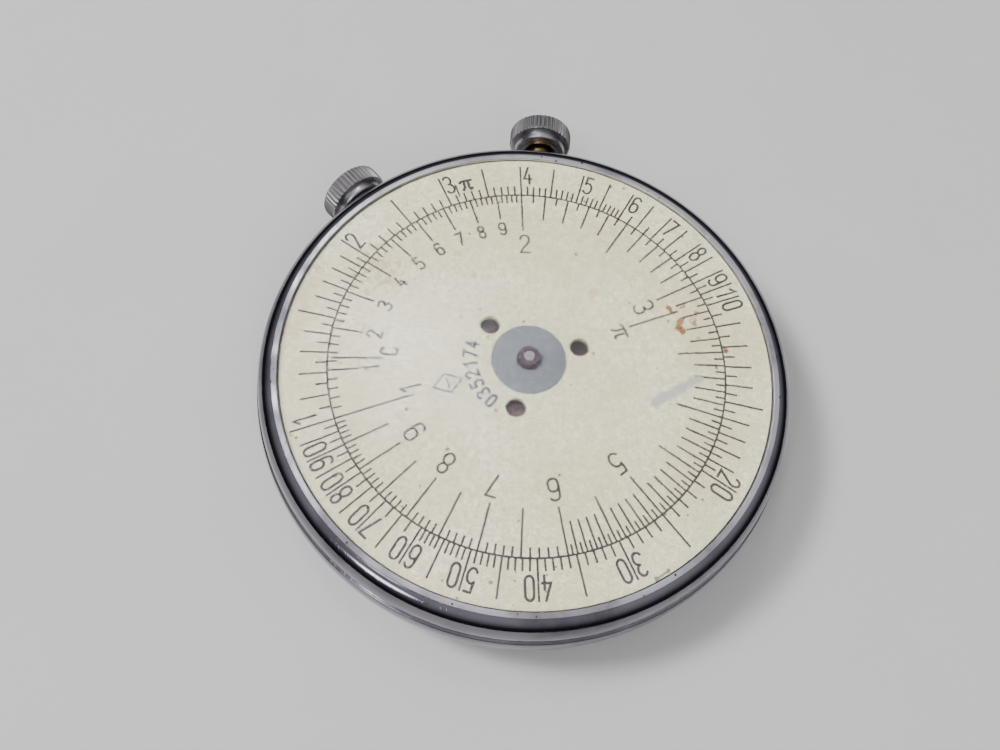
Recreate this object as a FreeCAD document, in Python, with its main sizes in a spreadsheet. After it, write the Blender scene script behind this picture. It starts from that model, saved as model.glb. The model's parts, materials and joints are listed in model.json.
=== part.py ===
"""Watch-shaped circular slide rule: chromed case, a movable dial turned by one crown, pointers by the other.

Millimetres, +Z out through the dial. The origin is on the case's axis, in the flat outer face of the back
crystal, which is the face it rests on. The dial crown points along +Y and the pointer crown is turned from
it towards -X. Heights in the sheet are distances from the middle plane, where both stems lie.
"""

import FreeCAD, Part
import math
import os
import re

import Sketcher
from FreeCAD import Placement, Rotation, Vector

DIMENSIONS = {
    # case, bezels and crystals
    "mid_height": 5.2,
    "case_radius": 25.45,
    "ring_arc": 6.0,
    "ring_shoulder": 1.2,
    "ring_crest": 1.3,
    "ring_edge": 25.2,
    "bezel_radius": 25.05,
    "bezel_waist": 2.0,
    "bezel_arc": 3.5,
    "bezel_shoulder": 1.5,
    "bezel_face": 4.2,
    "seam_rise": 1.45,
    "seam_gap": 0.05,
    "sleeve_radius": 24.25,
    "sleeve_rise": 2.6,
    "case_bore": 23.9,
    "ledge_bore": 22.95,
    "ledge_face": 3.3,
    "ledge_top": 2.9,
    "thread_radius": 24.0,
    "lip_radius": 23.0,
    "lip_thickness": 0.2,
    "groove_radius": 23.3,
    "groove_width": 0.18,
    "crystal_rim": 23.28,
    "crystal_neck": 22.95,
    "crystal_slack": 0.02,
    "dome_top": 5.7,
    "dome_base": 4.15,
    "dome_inner_top": 4.95,
    "dome_inner_radius": 22.5,
    "back_face": 5.2,
    "back_flat": 21.8,
    "back_inner_face": 4.5,
    "back_inner_radius": 21.6,
    # dials
    "dial_radius": 22.85,
    "dial_face": 3.75,
    "dial_back": 3.25,
    "dial_bore": 2.7,
    "dial_hole_radius": 0.95,
    "dial_hole_circle": 5.0,
    "dial_hole_angle": 20.0,
    "foot_radius": 0.5,
    "foot_circle": 14.0,
    # base plate, bridge and their fastenings
    "plate_boss": 22.8,
    "plate_rim": 23.85,
    "plate_top": 2.45,
    "bridge_angle": 22.5,
    "bridge_reach": 8.6,
    "bridge_width": 3.4,
    "bridge_low": 0.2,
    "bridge_high": 1.0,
    "bridge_boss": 2.6,
    "pillar_radius": 0.95,
    "pillar_tail": 0.5,
    "small_screw": 0.3,
    "small_head": 0.55,
    "bridge_head": 0.75,
    "head_height": 0.35,
    "slot_width": 0.16,
    "slot_depth": 0.14,
    "plate_screw_circle": 23.3,
    "plate_screw_angle": 30.0,
    # arbor and bushings
    "arbor_radius": 0.8,
    "arbor_end": 0.5,
    "arbor_low": 4.35,
    "arbor_shoulder": 3.66,
    "arbor_high": 4.5,
    "running_gap": 0.05,
    "bushing_radius": 1.6,
    "bushing_top": 3.6,
    "bushing_flange": 2.5,
    "flange_top": 1.25,
    "clip_low": 3.31,
    "clip_high": 3.41,
    "clip_groove": 1.35,
    "clip_radius": 2.1,
    "plate_bushing_radius": 1.5,
    "plate_bushing_flange": 1.9,
    "plate_flange_top": 2.33,
    "seat_radius": 0.95,
    "seat_low": 3.7,
    "seat_top": 4.62,
    "seat_cut": 0.14,
    "boss_radius": 1.3,
    "boss_low": 4.38,
    "boss_high": 3.9,
    "blade_low": 4.15,
    "blade_high": 4.02,
    "blade_reach": 20.6,
    "blade_tail": 6.5,
    "blade_half_width": 0.9,
    "blade_tip": 0.12,
    # dial hub and the two contrate wheels
    "module": 0.3,
    "pinion_teeth": 10,
    "dial_wheel_teeth": 72,
    "pointer_wheel_teeth": 40,
    "pinion_face": 1.0,
    "rim_overhang": 0.2,
    "wheel_addendum": 0.18,
    "wheel_dedendum": 0.3,
    "wheel_tip_land": 0.18,
    "wheel_root_land": 0.42,
    "wheel_back": 2.25,
    "web_thickness": 0.3,
    "pinion_addendum": 0.22,
    "pinion_dedendum": 0.28,
    "pinion_tip_land": 0.2,
    "pinion_root_land": 0.42,
    "hub_low": 1.45,
    "hub_pilot": 2.4,
    "hub_boss": 3.8,
    "hub_step": 2.95,
    "hub_flange": 6.6,
    "hub_recess": 2.25,
    "hub_recess_floor": 3.26,
    "cap_radius": 3.5,
    "cap_bore": 1.15,
    "cap_thickness": 0.12,
    "wheel_screw_circle": 3.1,
    "wheel_screw_head": 0.5,
    "wheel_screw_end": 2.85,
    "washer_thickness": 0.15,
    "dial_washer_bore": 1.62,
    "dial_washer_radius": 2.4,
    "pointer_washer_bore": 2.0,
    "pointer_washer_radius": 4.6,
    "pointer_hub": 2.2,
    "pointer_hub_top": 0.12,
    # crowns, stems, tubes and posts, measured outwards along each stem
    "crown_angle": 45.0,
    "stem_radius": 0.6,
    "tube_radius": 1.3,
    "tube_start": 22.9,
    "dial_tube_end": 27.9,
    "pointer_tube_end": 26.2,
    "dial_crown_start": 27.2,
    "pointer_crown_start": 25.55,
    "crown_radius": 3.35,
    "crown_boss": 2.75,
    "crown_boss_length": 0.8,
    "crown_length": 2.7,
    "crown_edge": 0.3,
    "crown_cap_rise": 0.25,
    "crown_cap_radius": 2.2,
    "crown_recess": 1.7,
    "crown_recess_depth": 1.6,
    "stem_grip": 0.7,
    "ring_inner": 2.08,
    "ring_outer": 2.26,
    "ring_depth": 0.12,
    "knurl_teeth": 44,
    "knurl_depth": 0.17,
    "knurl_half_width": 0.17,
    "dot_radius": 0.85,
    "dot_depth": 0.15,
    "dot_proud": 0.03,
    "dot_gap": 0.02,
    "dial_post_start": 12.3,
    "pointer_post_start": 7.6,
    "post_length": 1.2,
    "post_width": 2.4,
    "post_top": 1.0,
    "post_screw_end": 1.5,
    "collar_radius": 1.1,
    "collar_start": 22.2,
    "collar_length": 0.5,
}

UP = "mid_height + "
DOWN = "mid_height - "

DOC = FreeCAD.newDocument("slide_rule")
SHEET = DOC.addObject("Spreadsheet::Sheet", "Sheet")
SUBPARTS = []


def fill_sheet():
    """Writes each driving dimension to a cell of its own and names the cell after it."""
    for row, (alias, number) in enumerate(DIMENSIONS.items(), start=1):
        cell = f"A{row}"
        SHEET.set(cell, str(number))
        SHEET.setAlias(cell, alias)
    DOC.recompute()


def bound(formula):
    """The formula with each dimension's name written as a reference to its cell."""
    return re.sub(r"[a-z_]+", lambda word: f"Sheet.{word[0]}" if word[0] in DIMENSIONS else word[0], formula)


def size(formula):
    """The number that a formula of dimensions comes to."""
    found = SHEET.evalExpression(formula)
    return float(getattr(found, "Value", found))


def bind(item, **formulas):
    """Binds properties of an object to formulas of the sheet's cells."""
    for name, formula in formulas.items():
        item.setExpression(name.replace("__", "."), bound(formula))


def subpart(item, label):
    """Marks an object as a piece that is exported under its label."""
    item.Label = label
    SUBPARTS.append(item)
    return item


def new_body(label):
    """An empty body, whose own origin its sketches stand on."""
    return DOC.addObject("PartDesign::Body", label)


def origin_feature(body, role):
    return next(feature for feature in body.Origin.OriginFeatures if feature.Role == role)


def new_sketch(body, plane, name, offset=None):
    """A sketch on one of the body's own origin planes, moved along the plane's normal by a formula."""
    sketch = body.newObject("Sketcher::SketchObject", name)
    sketch.AttachmentSupport = (origin_feature(body, plane), [""])
    sketch.MapMode = "FlatFace"
    if offset:
        bind(sketch, AttachmentOffset__Base__z=offset)
    return sketch


def arc_between(start, end, radius):
    """The circular arc from start to end: anticlockwise if radius is positive, clockwise if negative."""
    chord = end - start
    half = chord.Length / 2
    side = Vector(-chord.y, chord.x, 0).normalize() * math.copysign(1, radius)
    centre = (start + end) / 2 + side * math.sqrt(radius * radius - half * half)
    middle = centre - side * abs(radius)
    return Part.Arc(start, middle, end)


def draw_outline(sketch, corners):
    """Draws a closed outline of (x formula, y formula) corners. One with a radius too leads on as an arc."""
    points = [Vector(size(corner[0]), size(corner[1]), 0) for corner in corners]
    count = len(corners)
    for index, corner in enumerate(corners):
        start = points[index]
        end = points[(index + 1) % count]
        if len(corner) == 3:
            sketch.addGeometry(arc_between(start, end, size(corner[2])), False)
        else:
            sketch.addGeometry(Part.LineSegment(start, end), False)
    leading = []
    for index, corner in enumerate(corners):
        # an arc's own start is its clockwise end, so a clockwise arc leads from its point 2
        backwards = len(corner) == 3 and size(corner[2]) < 0
        leading.append((2, 1) if backwards else (1, 2))
    for index in range(count):
        after = (index + 1) % count
        sketch.addConstraint(
            Sketcher.Constraint("Coincident", index, leading[index][1], after, leading[after][0])
        )
    for index, corner in enumerate(corners):
        place_corner(sketch, index, leading[index][0], corner)
    return sketch


def place_corner(sketch, edge, end, corner):
    """Constrains the corner that an edge leads from, and the edge's radius if it is an arc."""
    for axis, formula in zip("XY", corner[:2]):
        if formula == "0":
            line = -2 if axis == "X" else -1
            sketch.addConstraint(Sketcher.Constraint("PointOnObject", edge, end, line))
            continue
        index = sketch.addConstraint(
            Sketcher.Constraint(f"Distance{axis}", -1, 1, edge, end, size(formula))
        )
        name = f"{axis.lower()}_{edge}"
        sketch.renameConstraint(index, name)
        sketch.setExpression(f"Constraints.{name}", bound(formula))
    if len(corner) == 3:
        radius = corner[2].lstrip("-")
        index = sketch.addConstraint(Sketcher.Constraint("Radius", edge, size(radius)))
        sketch.renameConstraint(index, f"radius_{edge}")
        sketch.setExpression(f"Constraints.radius_{edge}", bound(radius))


def turned(label, corners):
    """A body turned about its own Z axis from an outline of (radius, height) corners."""
    body = new_body(label)
    sketch = draw_outline(new_sketch(body, "XZ_Plane", f"{label}_outline"), corners)
    revolution = body.newObject("PartDesign::Revolution", f"{label}_turned")
    revolution.Profile = sketch
    revolution.ReferenceAxis = (sketch, ["V_Axis"])
    revolution.Angle = 360
    return body


def ring(label, inner, outer, low, high):
    """A plain turned ring, or a disc where the inner radius is 0."""
    return turned(label, [(inner, low), (outer, low), (outer, high), (inner, high)])


def repeat_round(body, feature, teeth):
    """Repeats a feature evenly about the body's Z axis and makes the pattern the body's tip."""
    pattern = body.newObject("PartDesign::PolarPattern", f"{feature.Name}_round")
    pattern.Originals = [feature]
    pattern.Axis = (origin_feature(body, "Z_Axis"), [""])
    pattern.Angle = 360
    pattern.Occurrences = int(size(teeth))
    body.Tip = pattern
    return pattern


def cylinder(name, radius, low, high, across="0", angle=0.0):
    """An upright cylinder between two heights, its axis at a distance from the case's axis, at an angle."""
    item = DOC.addObject("Part::Cylinder", name)
    bind(item, Radius=radius, Height=f"({high}) - ({low})")
    direction = Rotation(Vector(0, 0, 1), angle).multVec(Vector(1, 0, 0))
    item.Placement = Placement(direction * size(across) + Vector(0, 0, size(low)), Rotation())
    return item


def along_stem(item, angle, start="0"):
    """Turns an object built about its Z axis so that it points outwards along a stem."""
    turn = Rotation(Vector(0, 0, 1), angle) * Rotation(Vector(0, 1, 0), 90)
    outwards = Rotation(Vector(0, 0, 1), angle).multVec(Vector(1, 0, 0))
    item.Placement = Placement(outwards * size(start) + Vector(0, 0, size("mid_height")), turn)
    return item


def stem_cylinder(name, radius, start, end, angle):
    """A cylinder lying along a stem, between two distances from the case's axis."""
    item = DOC.addObject("Part::Cylinder", name)
    bind(item, Radius=radius, Height=f"({end}) - ({start})")
    return along_stem(item, angle, start)


def joined(name, items):
    fuse = DOC.addObject("Part::MultiFuse", name)
    fuse.Shapes = items
    return fuse


def without(name, base, tools):
    """The base with one tool, or several, cut from it."""
    cut = DOC.addObject("Part::Cut", name)
    cut.Base = base
    cut.Tool = tools[0] if len(tools) == 1 else joined(f"{name}_tools", tools)
    return cut


def group(label, items):
    """Separate solids of one kind that share a node."""
    compound = DOC.addObject("Part::Compound", f"{label}_group")
    compound.Links = items
    return subpart(compound, label)


def angles_round(count, first):
    return [first + 360.0 * index / count for index in range(count)]


DIAL_STEM_ANGLE = 90.0
PLATE_SCREWS = 3
DIAL_HOLES = 3


# ---------------------------------------------------------------- case


def rounded_side(radius, waist, side_arc, shoulder_arc):
    """Formulas for a side arc that runs smoothly into a smaller shoulder arc, which ends at the bezel's face.

    They are the radius where the face starts, and the radius and height where the two arcs meet.
    """
    rise = f"(bezel_face - {shoulder_arc} - {waist})"
    run = f"sqrt(({side_arc} - {shoulder_arc})^2 - {rise}^2)"
    share = f"{side_arc} / ({side_arc} - {shoulder_arc})"
    middle = f"({radius} - {side_arc})"
    return f"({middle} + {run})", f"({middle} + {run} * {share})", f"({waist} + {rise} * {share})"


FRONT_FACE, FRONT_JOIN, FRONT_JOIN_RISE = rounded_side(
    "bezel_radius", "bezel_waist", "bezel_arc", "bezel_shoulder"
)
BACK_FACE, BACK_JOIN, BACK_JOIN_RISE = rounded_side("case_radius", "0", "ring_arc", "ring_shoulder")
THREAD_RISE = f"(bezel_face - ring_shoulder + sqrt(ring_shoulder^2 - (thread_radius - {BACK_FACE})^2))"


def lip_and_groove(side):
    """The corners of the groove behind a bezel's lip, which holds the crystal."""
    return [
        ("lip_radius", f"{side}(bezel_face - lip_thickness - groove_width)"),
        ("groove_radius", f"{side}(bezel_face - lip_thickness - groove_width)"),
        ("groove_radius", f"{side}(bezel_face - lip_thickness)"),
        ("lip_radius", f"{side}(bezel_face - lip_thickness)"),
    ]


def make_front_bezel():
    """The rounded front of the case, which snaps over the case ring's wall just above the crowns' tubes."""
    body = turned(
        "front_bezel_turned",
        [
            ("bezel_radius - seam_gap", f"{UP}(seam_rise + seam_gap)"),
            ("bezel_radius", f"{UP}bezel_waist", "bezel_arc"),
            (FRONT_JOIN, f"{UP}{FRONT_JOIN_RISE}", "bezel_shoulder"),
            (FRONT_FACE, f"{UP}bezel_face"),
            ("lip_radius", f"{UP}bezel_face"),
            *reversed(lip_and_groove(UP)),
            ("lip_radius", f"{UP}(sleeve_rise + seam_gap)"),
            ("sleeve_radius", f"{UP}(sleeve_rise + seam_gap)"),
            ("sleeve_radius", f"{UP}(seam_rise + seam_gap)"),
        ],
    )
    return subpart(body, "front_bezel")


def make_case_ring(stem_angles):
    """The body of the case, with the wall that the front bezel snaps over and the base plate's ledge."""
    shell = turned(
        "case_ring_shell",
        [
            ("ring_edge", f"{UP}seam_rise"),
            ("sleeve_radius", f"{UP}seam_rise"),
            ("sleeve_radius", f"{UP}sleeve_rise"),
            ("case_bore", f"{UP}sleeve_rise"),
            ("case_bore", f"{DOWN}ledge_top"),
            ("ledge_bore", f"{DOWN}ledge_top"),
            ("ledge_bore", f"{DOWN}ledge_face"),
            ("thread_radius", f"{DOWN}ledge_face"),
            ("thread_radius", f"{DOWN}{THREAD_RISE}", "ring_shoulder"),
            (BACK_JOIN, f"{DOWN}{BACK_JOIN_RISE}", "ring_arc"),
            ("case_radius - ring_arc + sqrt(ring_arc^2 - ring_crest^2)", f"{UP}ring_crest"),
        ],
    )
    holes = [
        stem_cylinder(f"tube_hole_{index}", "tube_radius", "case_bore - 1", "case_radius + 1", angle)
        for index, angle in enumerate(stem_angles)
    ]
    taps = [
        cylinder(f"ledge_tap_{index}", "small_screw", f"{DOWN}ledge_face", f"{DOWN}ledge_top",
                 "plate_screw_circle", angle)
        for index, angle in enumerate(angles_round(PLATE_SCREWS, size("plate_screw_angle")))
    ]
    return subpart(without("case_ring_cut", shell, holes + taps), "case_ring")


def make_back_bezel():
    """The ring screwed into the back of the case ring, holding the back crystal."""
    body = turned(
        "back_bezel_turned",
        [
            (BACK_FACE, f"{DOWN}bezel_face", "ring_shoulder"),
            ("thread_radius", f"{DOWN}{THREAD_RISE}"),
            ("thread_radius", f"{DOWN}ledge_face"),
            ("lip_radius", f"{DOWN}ledge_face"),
            *lip_and_groove(DOWN),
            ("lip_radius", f"{DOWN}bezel_face"),
        ],
    )
    return subpart(body, "back_bezel")


def crystal_foot(side):
    """The corners of a crystal's thin rim, which is caught in the bezel's groove, from the outside in."""
    low = f"{side}(bezel_face - lip_thickness - groove_width + crystal_slack)"
    high = f"{side}(bezel_face - lip_thickness - crystal_slack)"
    return [("crystal_neck", high), ("crystal_rim", high), ("crystal_rim", low)]


def make_front_crystal():
    """A low dome, high enough in the middle for the end of the arbor."""
    outer_rise = "(dome_top - dome_base)"
    inner_base = "(bezel_face - lip_thickness - groove_width + crystal_slack)"
    inner_rise = f"(dome_inner_top - {inner_base})"
    outer_arc = f"((crystal_neck^2 + {outer_rise}^2) / (2 * {outer_rise}))"
    inner_arc = f"((dome_inner_radius^2 + {inner_rise}^2) / (2 * {inner_rise}))"
    body = turned(
        "front_crystal_turned",
        [
            ("0", f"{UP}dome_top", f"-{outer_arc}"),
            ("crystal_neck", f"{UP}dome_base"),
            *crystal_foot(UP),
            ("dome_inner_radius", f"{UP}{inner_base}", inner_arc),
            ("0", f"{UP}dome_inner_top"),
        ],
    )
    return subpart(body, "front_crystal")


def make_back_crystal():
    """A flat crystal that stands proud of the back bezel: its outer face is what the case rests on."""
    body = turned(
        "back_crystal_turned",
        [
            ("0", "0"),
            ("back_flat", "0"),
            ("crystal_neck", f"{DOWN}dome_base"),
            *crystal_foot(DOWN),
            ("back_inner_radius", f"{DOWN}(bezel_face - lip_thickness - groove_width + crystal_slack)"),
            ("back_inner_radius", f"{DOWN}back_inner_face"),
            ("0", f"{DOWN}back_inner_face"),
        ],
    )
    return subpart(body, "back_crystal")


# ---------------------------------------------------------------- plate and bridge


def make_base_plate(screw_angles, post_places):
    """The brass plate that carries the works and is screwed to the case ring's ledge."""
    blank = turned(
        "base_plate_blank",
        [
            ("plate_bushing_radius", f"{DOWN}dial_back"),
            ("plate_boss", f"{DOWN}dial_back"),
            ("plate_boss", f"{DOWN}ledge_top"),
            ("plate_rim", f"{DOWN}ledge_top"),
            ("plate_rim", f"{DOWN}plate_top"),
            ("plate_bushing_radius", f"{DOWN}plate_top"),
        ],
    )
    low = f"{DOWN}dial_back"
    high = f"{DOWN}plate_top"
    holes = [
        cylinder(f"plate_screw_hole_{index}", "small_screw", low, high, "plate_screw_circle", angle)
        for index, angle in enumerate(screw_angles)
    ]
    for index, angle in enumerate(angles_round(2, size("bridge_angle"))):
        holes.append(cylinder(f"pillar_hole_{index}", "pillar_tail", low, high, "bridge_reach", angle))
        holes.append(cylinder(f"foot_hole_{index}", "foot_radius", low, high, "foot_circle", angle + 90))
    for index, (start, angle) in enumerate(post_places):
        across = f"{start} + post_length / 2"
        holes.append(cylinder(f"post_hole_{index}", "small_screw", low, high, across, angle))
        holes.append(
            cylinder(f"post_head_hole_{index}", "small_head", low, f"{low} + head_height", across, angle)
        )
    return subpart(without("base_plate_cut", blank, holes), "base_plate")


def make_screw(name, shank, head, tip, seat, head_end, across, angle, slot_angle):
    """One slotted screw: shank from tip to seat, head from seat to head_end, at a place on the plate."""
    lower_first = size(head_end) > size(seat)
    shank_span = (tip, seat) if lower_first else (seat, tip)
    head_span = (seat, head_end) if lower_first else (head_end, seat)
    solid = joined(
        f"{name}_blank",
        [
            cylinder(f"{name}_shank", shank, *shank_span, across, angle),
            cylinder(f"{name}_head", head, *head_span, across, angle),
        ],
    )
    slot = DOC.addObject("Part::Box", f"{name}_slot")
    bind(slot, Length=f"2 * {head} + 0.1", Width="slot_width", Height="slot_depth")
    turn = Rotation(Vector(0, 0, 1), slot_angle)
    centre = Rotation(Vector(0, 0, 1), angle).multVec(Vector(size(across), 0, 0))
    corner = turn.multVec(Vector(size(head) + 0.05, size("slot_width") / 2, 0))
    floor = size(head_end) - (size("slot_depth") if lower_first else 0)
    slot.Placement = Placement(centre - corner + Vector(0, 0, floor), turn)
    return without(name, solid, [slot])


def make_plate_screws(screw_angles):
    screws = [
        make_screw(f"plate_screw_{index}", "small_screw", "small_head", f"{DOWN}(ledge_face - 0.05)",
                   f"{DOWN}plate_top", f"{DOWN}plate_top + head_height", "plate_screw_circle", angle,
                   angle + 25 * (index + 1))
        for index, angle in enumerate(screw_angles)
    ]
    return group("plate_screws", screws)


def make_bridge():
    """The bar across the pointer wheel that holds the central bushing, on its two pillars."""
    bar = DOC.addObject("Part::Box", "bridge_bar")
    bind(bar, Length="2 * bridge_reach", Width="bridge_width", Height="bridge_high - bridge_low")
    turn = Rotation(Vector(0, 0, 1), size("bridge_angle"))
    corner = turn.multVec(Vector(size("bridge_reach"), size("bridge_width") / 2, 0))
    bar.Placement = Placement(Vector(0, 0, size(f"{UP}bridge_low")) - corner, turn)
    low = f"{UP}bridge_low"
    high = f"{UP}bridge_high"
    solids = [bar, cylinder("bridge_middle", "bridge_boss", low, high)]
    holes = [cylinder("bridge_bore", "bushing_radius", low, high)]
    for index, angle in enumerate(angles_round(2, size("bridge_angle"))):
        solids.append(cylinder(f"bridge_end_{index}", "bridge_width / 2", low, high, "bridge_reach", angle))
        holes.append(cylinder(f"bridge_hole_{index}", "small_screw", low, high, "bridge_reach", angle))
    return subpart(without("bridge_cut", joined("bridge_blank", solids), holes), "wheel_bridge")


def make_pillars():
    """Two turned pillars riveted into the plate and tapped for the bridge's screws."""
    pillars = []
    for index, angle in enumerate(angles_round(2, size("bridge_angle"))):
        post = cylinder(f"pillar_post_{index}", "pillar_radius", f"{DOWN}plate_top", f"{UP}bridge_low",
                        "bridge_reach", angle)
        tail = cylinder(f"pillar_rivet_{index}", "pillar_tail", f"{DOWN}dial_back", f"{DOWN}plate_top",
                        "bridge_reach", angle)
        tap = cylinder(f"pillar_tap_{index}", "small_screw", f"{DOWN}bridge_high", f"{UP}bridge_low",
                       "bridge_reach", angle)
        pillars.append(without(f"pillar_{index}", joined(f"pillar_blank_{index}", [post, tail]), [tap]))
    return group("bridge_pillars", pillars)


def make_bridge_screws():
    screws = [
        make_screw(f"bridge_screw_{index}", "small_screw", "bridge_head", f"{DOWN}bridge_high",
                   f"{UP}bridge_high", f"{UP}bridge_high + head_height", "bridge_reach", angle,
                   angle + 40 * (index + 1))
        for index, angle in enumerate(angles_round(2, size("bridge_angle")))
    ]
    return group("bridge_screws", screws)


def make_centre_bushing():
    """The tube that the dial hub turns on, and that the arbor turns in."""
    bore = "arbor_radius + running_gap"
    body = turned(
        "centre_bushing_turned",
        [
            (bore, f"{UP}bridge_low"),
            ("bushing_radius", f"{UP}bridge_low"),
            ("bushing_radius", f"{UP}bridge_high"),
            ("bushing_flange", f"{UP}bridge_high"),
            ("bushing_flange", f"{UP}flange_top"),
            ("bushing_radius", f"{UP}flange_top"),
            ("bushing_radius", f"{UP}clip_low"),
            ("clip_groove", f"{UP}clip_low"),
            ("clip_groove", f"{UP}clip_high"),
            ("bushing_radius", f"{UP}clip_high"),
            ("bushing_radius", f"{UP}bushing_top"),
            (bore, f"{UP}bushing_top"),
        ],
    )
    return subpart(body, "centre_bushing")


def make_plate_bushing():
    """The lower bearing of the arbor, pressed into the plate and through the back dial."""
    bore = "arbor_radius + running_gap"
    body = turned(
        "plate_bushing_turned",
        [
            (bore, f"{DOWN}dial_face"),
            ("plate_bushing_radius", f"{DOWN}dial_face"),
            ("plate_bushing_radius", f"{DOWN}plate_top"),
            ("plate_bushing_flange", f"{DOWN}plate_top"),
            ("plate_bushing_flange", f"{DOWN}plate_flange_top"),
            (bore, f"{DOWN}plate_flange_top"),
        ],
    )
    return subpart(body, "plate_bushing")


def make_fixed_rings():
    """The clip that keeps the dial hub down, and the two friction washers that hold the dial and pointers."""
    subpart(ring("clip_turned", "clip_groove", "clip_radius", f"{UP}clip_low", f"{UP}clip_high"),
            "bushing_clip")
    subpart(ring("dial_washer", "dial_washer_bore", "dial_washer_radius", f"{UP}flange_top",
                 f"{UP}flange_top + washer_thickness"), "dial_friction_washer")
    subpart(ring("pointer_washer", "pointer_washer_bore", "pointer_washer_radius", f"{DOWN}plate_top",
                 f"{DOWN}plate_top + washer_thickness"), "pointer_friction_washer")


def make_back_dial():
    """The fixed back dial, with two feet riveted into the plate."""
    disc = ring("back_dial_disc", "plate_bushing_radius", "dial_radius", f"{DOWN}dial_face",
                f"{DOWN}dial_back")
    feet = [
        cylinder(f"dial_foot_{index}", "foot_radius", f"{DOWN}dial_back", f"{DOWN}plate_top",
                 "foot_circle", angle + 90)
        for index, angle in enumerate(angles_round(2, size("bridge_angle")))
    ]
    return subpart(joined("back_dial_joined", [disc, *feet]), "back_dial")


# ---------------------------------------------------------------- dial side


def dial_holes(prefix, low, high):
    """The three round holes through the dial and the flange under it."""
    return [
        cylinder(f"{prefix}_{index}", "dial_hole_radius", low, high, "dial_hole_circle", angle)
        for index, angle in enumerate(angles_round(DIAL_HOLES, size("dial_hole_angle")))
    ]


def wheel_screw_places():
    return angles_round(DIAL_HOLES, size("dial_hole_angle") + 180.0 / DIAL_HOLES)


def make_front_dial():
    disc = ring("front_dial_disc", "dial_bore", "dial_radius", f"{UP}dial_back", f"{UP}dial_face")
    holes = dial_holes("dial_hole", f"{UP}dial_back", f"{UP}dial_face")
    return subpart(without("front_dial_cut", disc, holes), "front_dial")


def make_dial_hub():
    """The hub that carries the dial on its flange and turns on the central bushing."""
    bore = "bushing_radius + running_gap"
    blank = turned(
        "dial_hub_blank",
        [
            (bore, f"{UP}hub_low"),
            ("hub_pilot", f"{UP}hub_low"),
            ("hub_pilot", f"{UP}wheel_back"),
            ("hub_boss", f"{UP}wheel_back"),
            ("hub_boss", f"{UP}hub_step"),
            ("hub_flange", f"{UP}hub_step"),
            ("hub_flange", f"{UP}dial_back"),
            ("dial_bore", f"{UP}dial_back"),
            ("dial_bore", f"{UP}dial_face"),
            ("hub_recess", f"{UP}dial_face"),
            ("hub_recess", f"{UP}hub_recess_floor"),
            (bore, f"{UP}hub_recess_floor"),
        ],
    )
    holes = dial_holes("flange_hole", f"{UP}hub_step", f"{UP}dial_back")
    holes += [
        cylinder(f"hub_tap_{index}", "small_screw", f"{UP}wheel_back", f"{UP}wheel_screw_end",
                 "wheel_screw_circle", angle)
        for index, angle in enumerate(wheel_screw_places())
    ]
    return subpart(without("dial_hub_cut", blank, holes), "dial_hub")


def make_hub_cap():
    """The gray disc in the middle of the dial, pressed on the hub."""
    cap = ring("hub_cap_turned", "cap_bore", "cap_radius", f"{UP}dial_face", f"{UP}dial_face + cap_thickness")
    return subpart(cap, "dial_hub_cap")


def contrate_slot(body, teeth, side):
    """One slot between two teeth that stand up from a wheel's rim, cut right across it, and its repeats."""
    pitch = "pi * module"
    pitch_radius = f"({teeth} * module / 2)"
    half_face = "(pinion_face / 2 + rim_overhang)"
    pitch_rise = "(pinion_teeth * module / 2)"
    tip = f"{side}({pitch_rise} - wheel_addendum)"
    root = f"{side}({pitch_rise} + wheel_dedendum)"
    half_tip = f"({pitch} - wheel_tip_land) / 2"
    half_root = f"({pitch} - wheel_root_land) / 2"
    sketch = new_sketch(body, "YZ_Plane", f"{body.Name}_slot", f"{pitch_radius} - {half_face} - rim_overhang")
    corners = [(f"-{half_tip}", tip), (half_tip, tip), (half_root, root), (f"-{half_root}", root)]
    if side == DOWN:
        corners.reverse()
    draw_outline(sketch, corners)
    slot = body.newObject("PartDesign::Pocket", f"{body.Name}_cut")
    slot.Profile = sketch
    slot.Reversed = True
    bind(slot, Length=f"2 * {half_face} + 2 * rim_overhang")
    repeat_round(body, slot, teeth)


def rim_span(teeth):
    """Inner and outer radius formulas of a wheel's toothed rim."""
    pitch_radius = f"({teeth} * module / 2)"
    half_face = "(pinion_face / 2 + rim_overhang)"
    return f"{pitch_radius} - {half_face}", f"{pitch_radius} + {half_face}"


def make_dial_wheel():
    """The contrate wheel under the dial: teeth down towards the dial crown's pinion."""
    inner, outer = rim_span("dial_wheel_teeth")
    tip = f"{UP}(pinion_teeth * module / 2 - wheel_addendum)"
    web = f"{UP}(wheel_back - web_thickness)"
    body = turned(
        "dial_wheel_turned",
        [
            ("hub_pilot", web),
            (inner, web),
            (inner, tip),
            (outer, tip),
            (outer, f"{UP}wheel_back"),
            ("hub_pilot", f"{UP}wheel_back"),
        ],
    )
    contrate_slot(body, "dial_wheel_teeth", UP)
    holes = [
        cylinder(f"wheel_hole_{index}", "small_screw", web, f"{UP}wheel_back", "wheel_screw_circle", angle)
        for index, angle in enumerate(wheel_screw_places())
    ]
    return subpart(without("dial_wheel_cut", body, holes), "dial_wheel")


def make_wheel_screws():
    web = f"{UP}(wheel_back - web_thickness)"
    screws = [
        make_screw(f"wheel_screw_{index}", "small_screw", "wheel_screw_head", f"{UP}wheel_screw_end", web,
                   f"{web} - web_thickness", "wheel_screw_circle", angle, angle + 30 * index)
        for index, angle in enumerate(wheel_screw_places())
    ]
    return group("wheel_screws", screws)


# ---------------------------------------------------------------- pointer side


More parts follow.
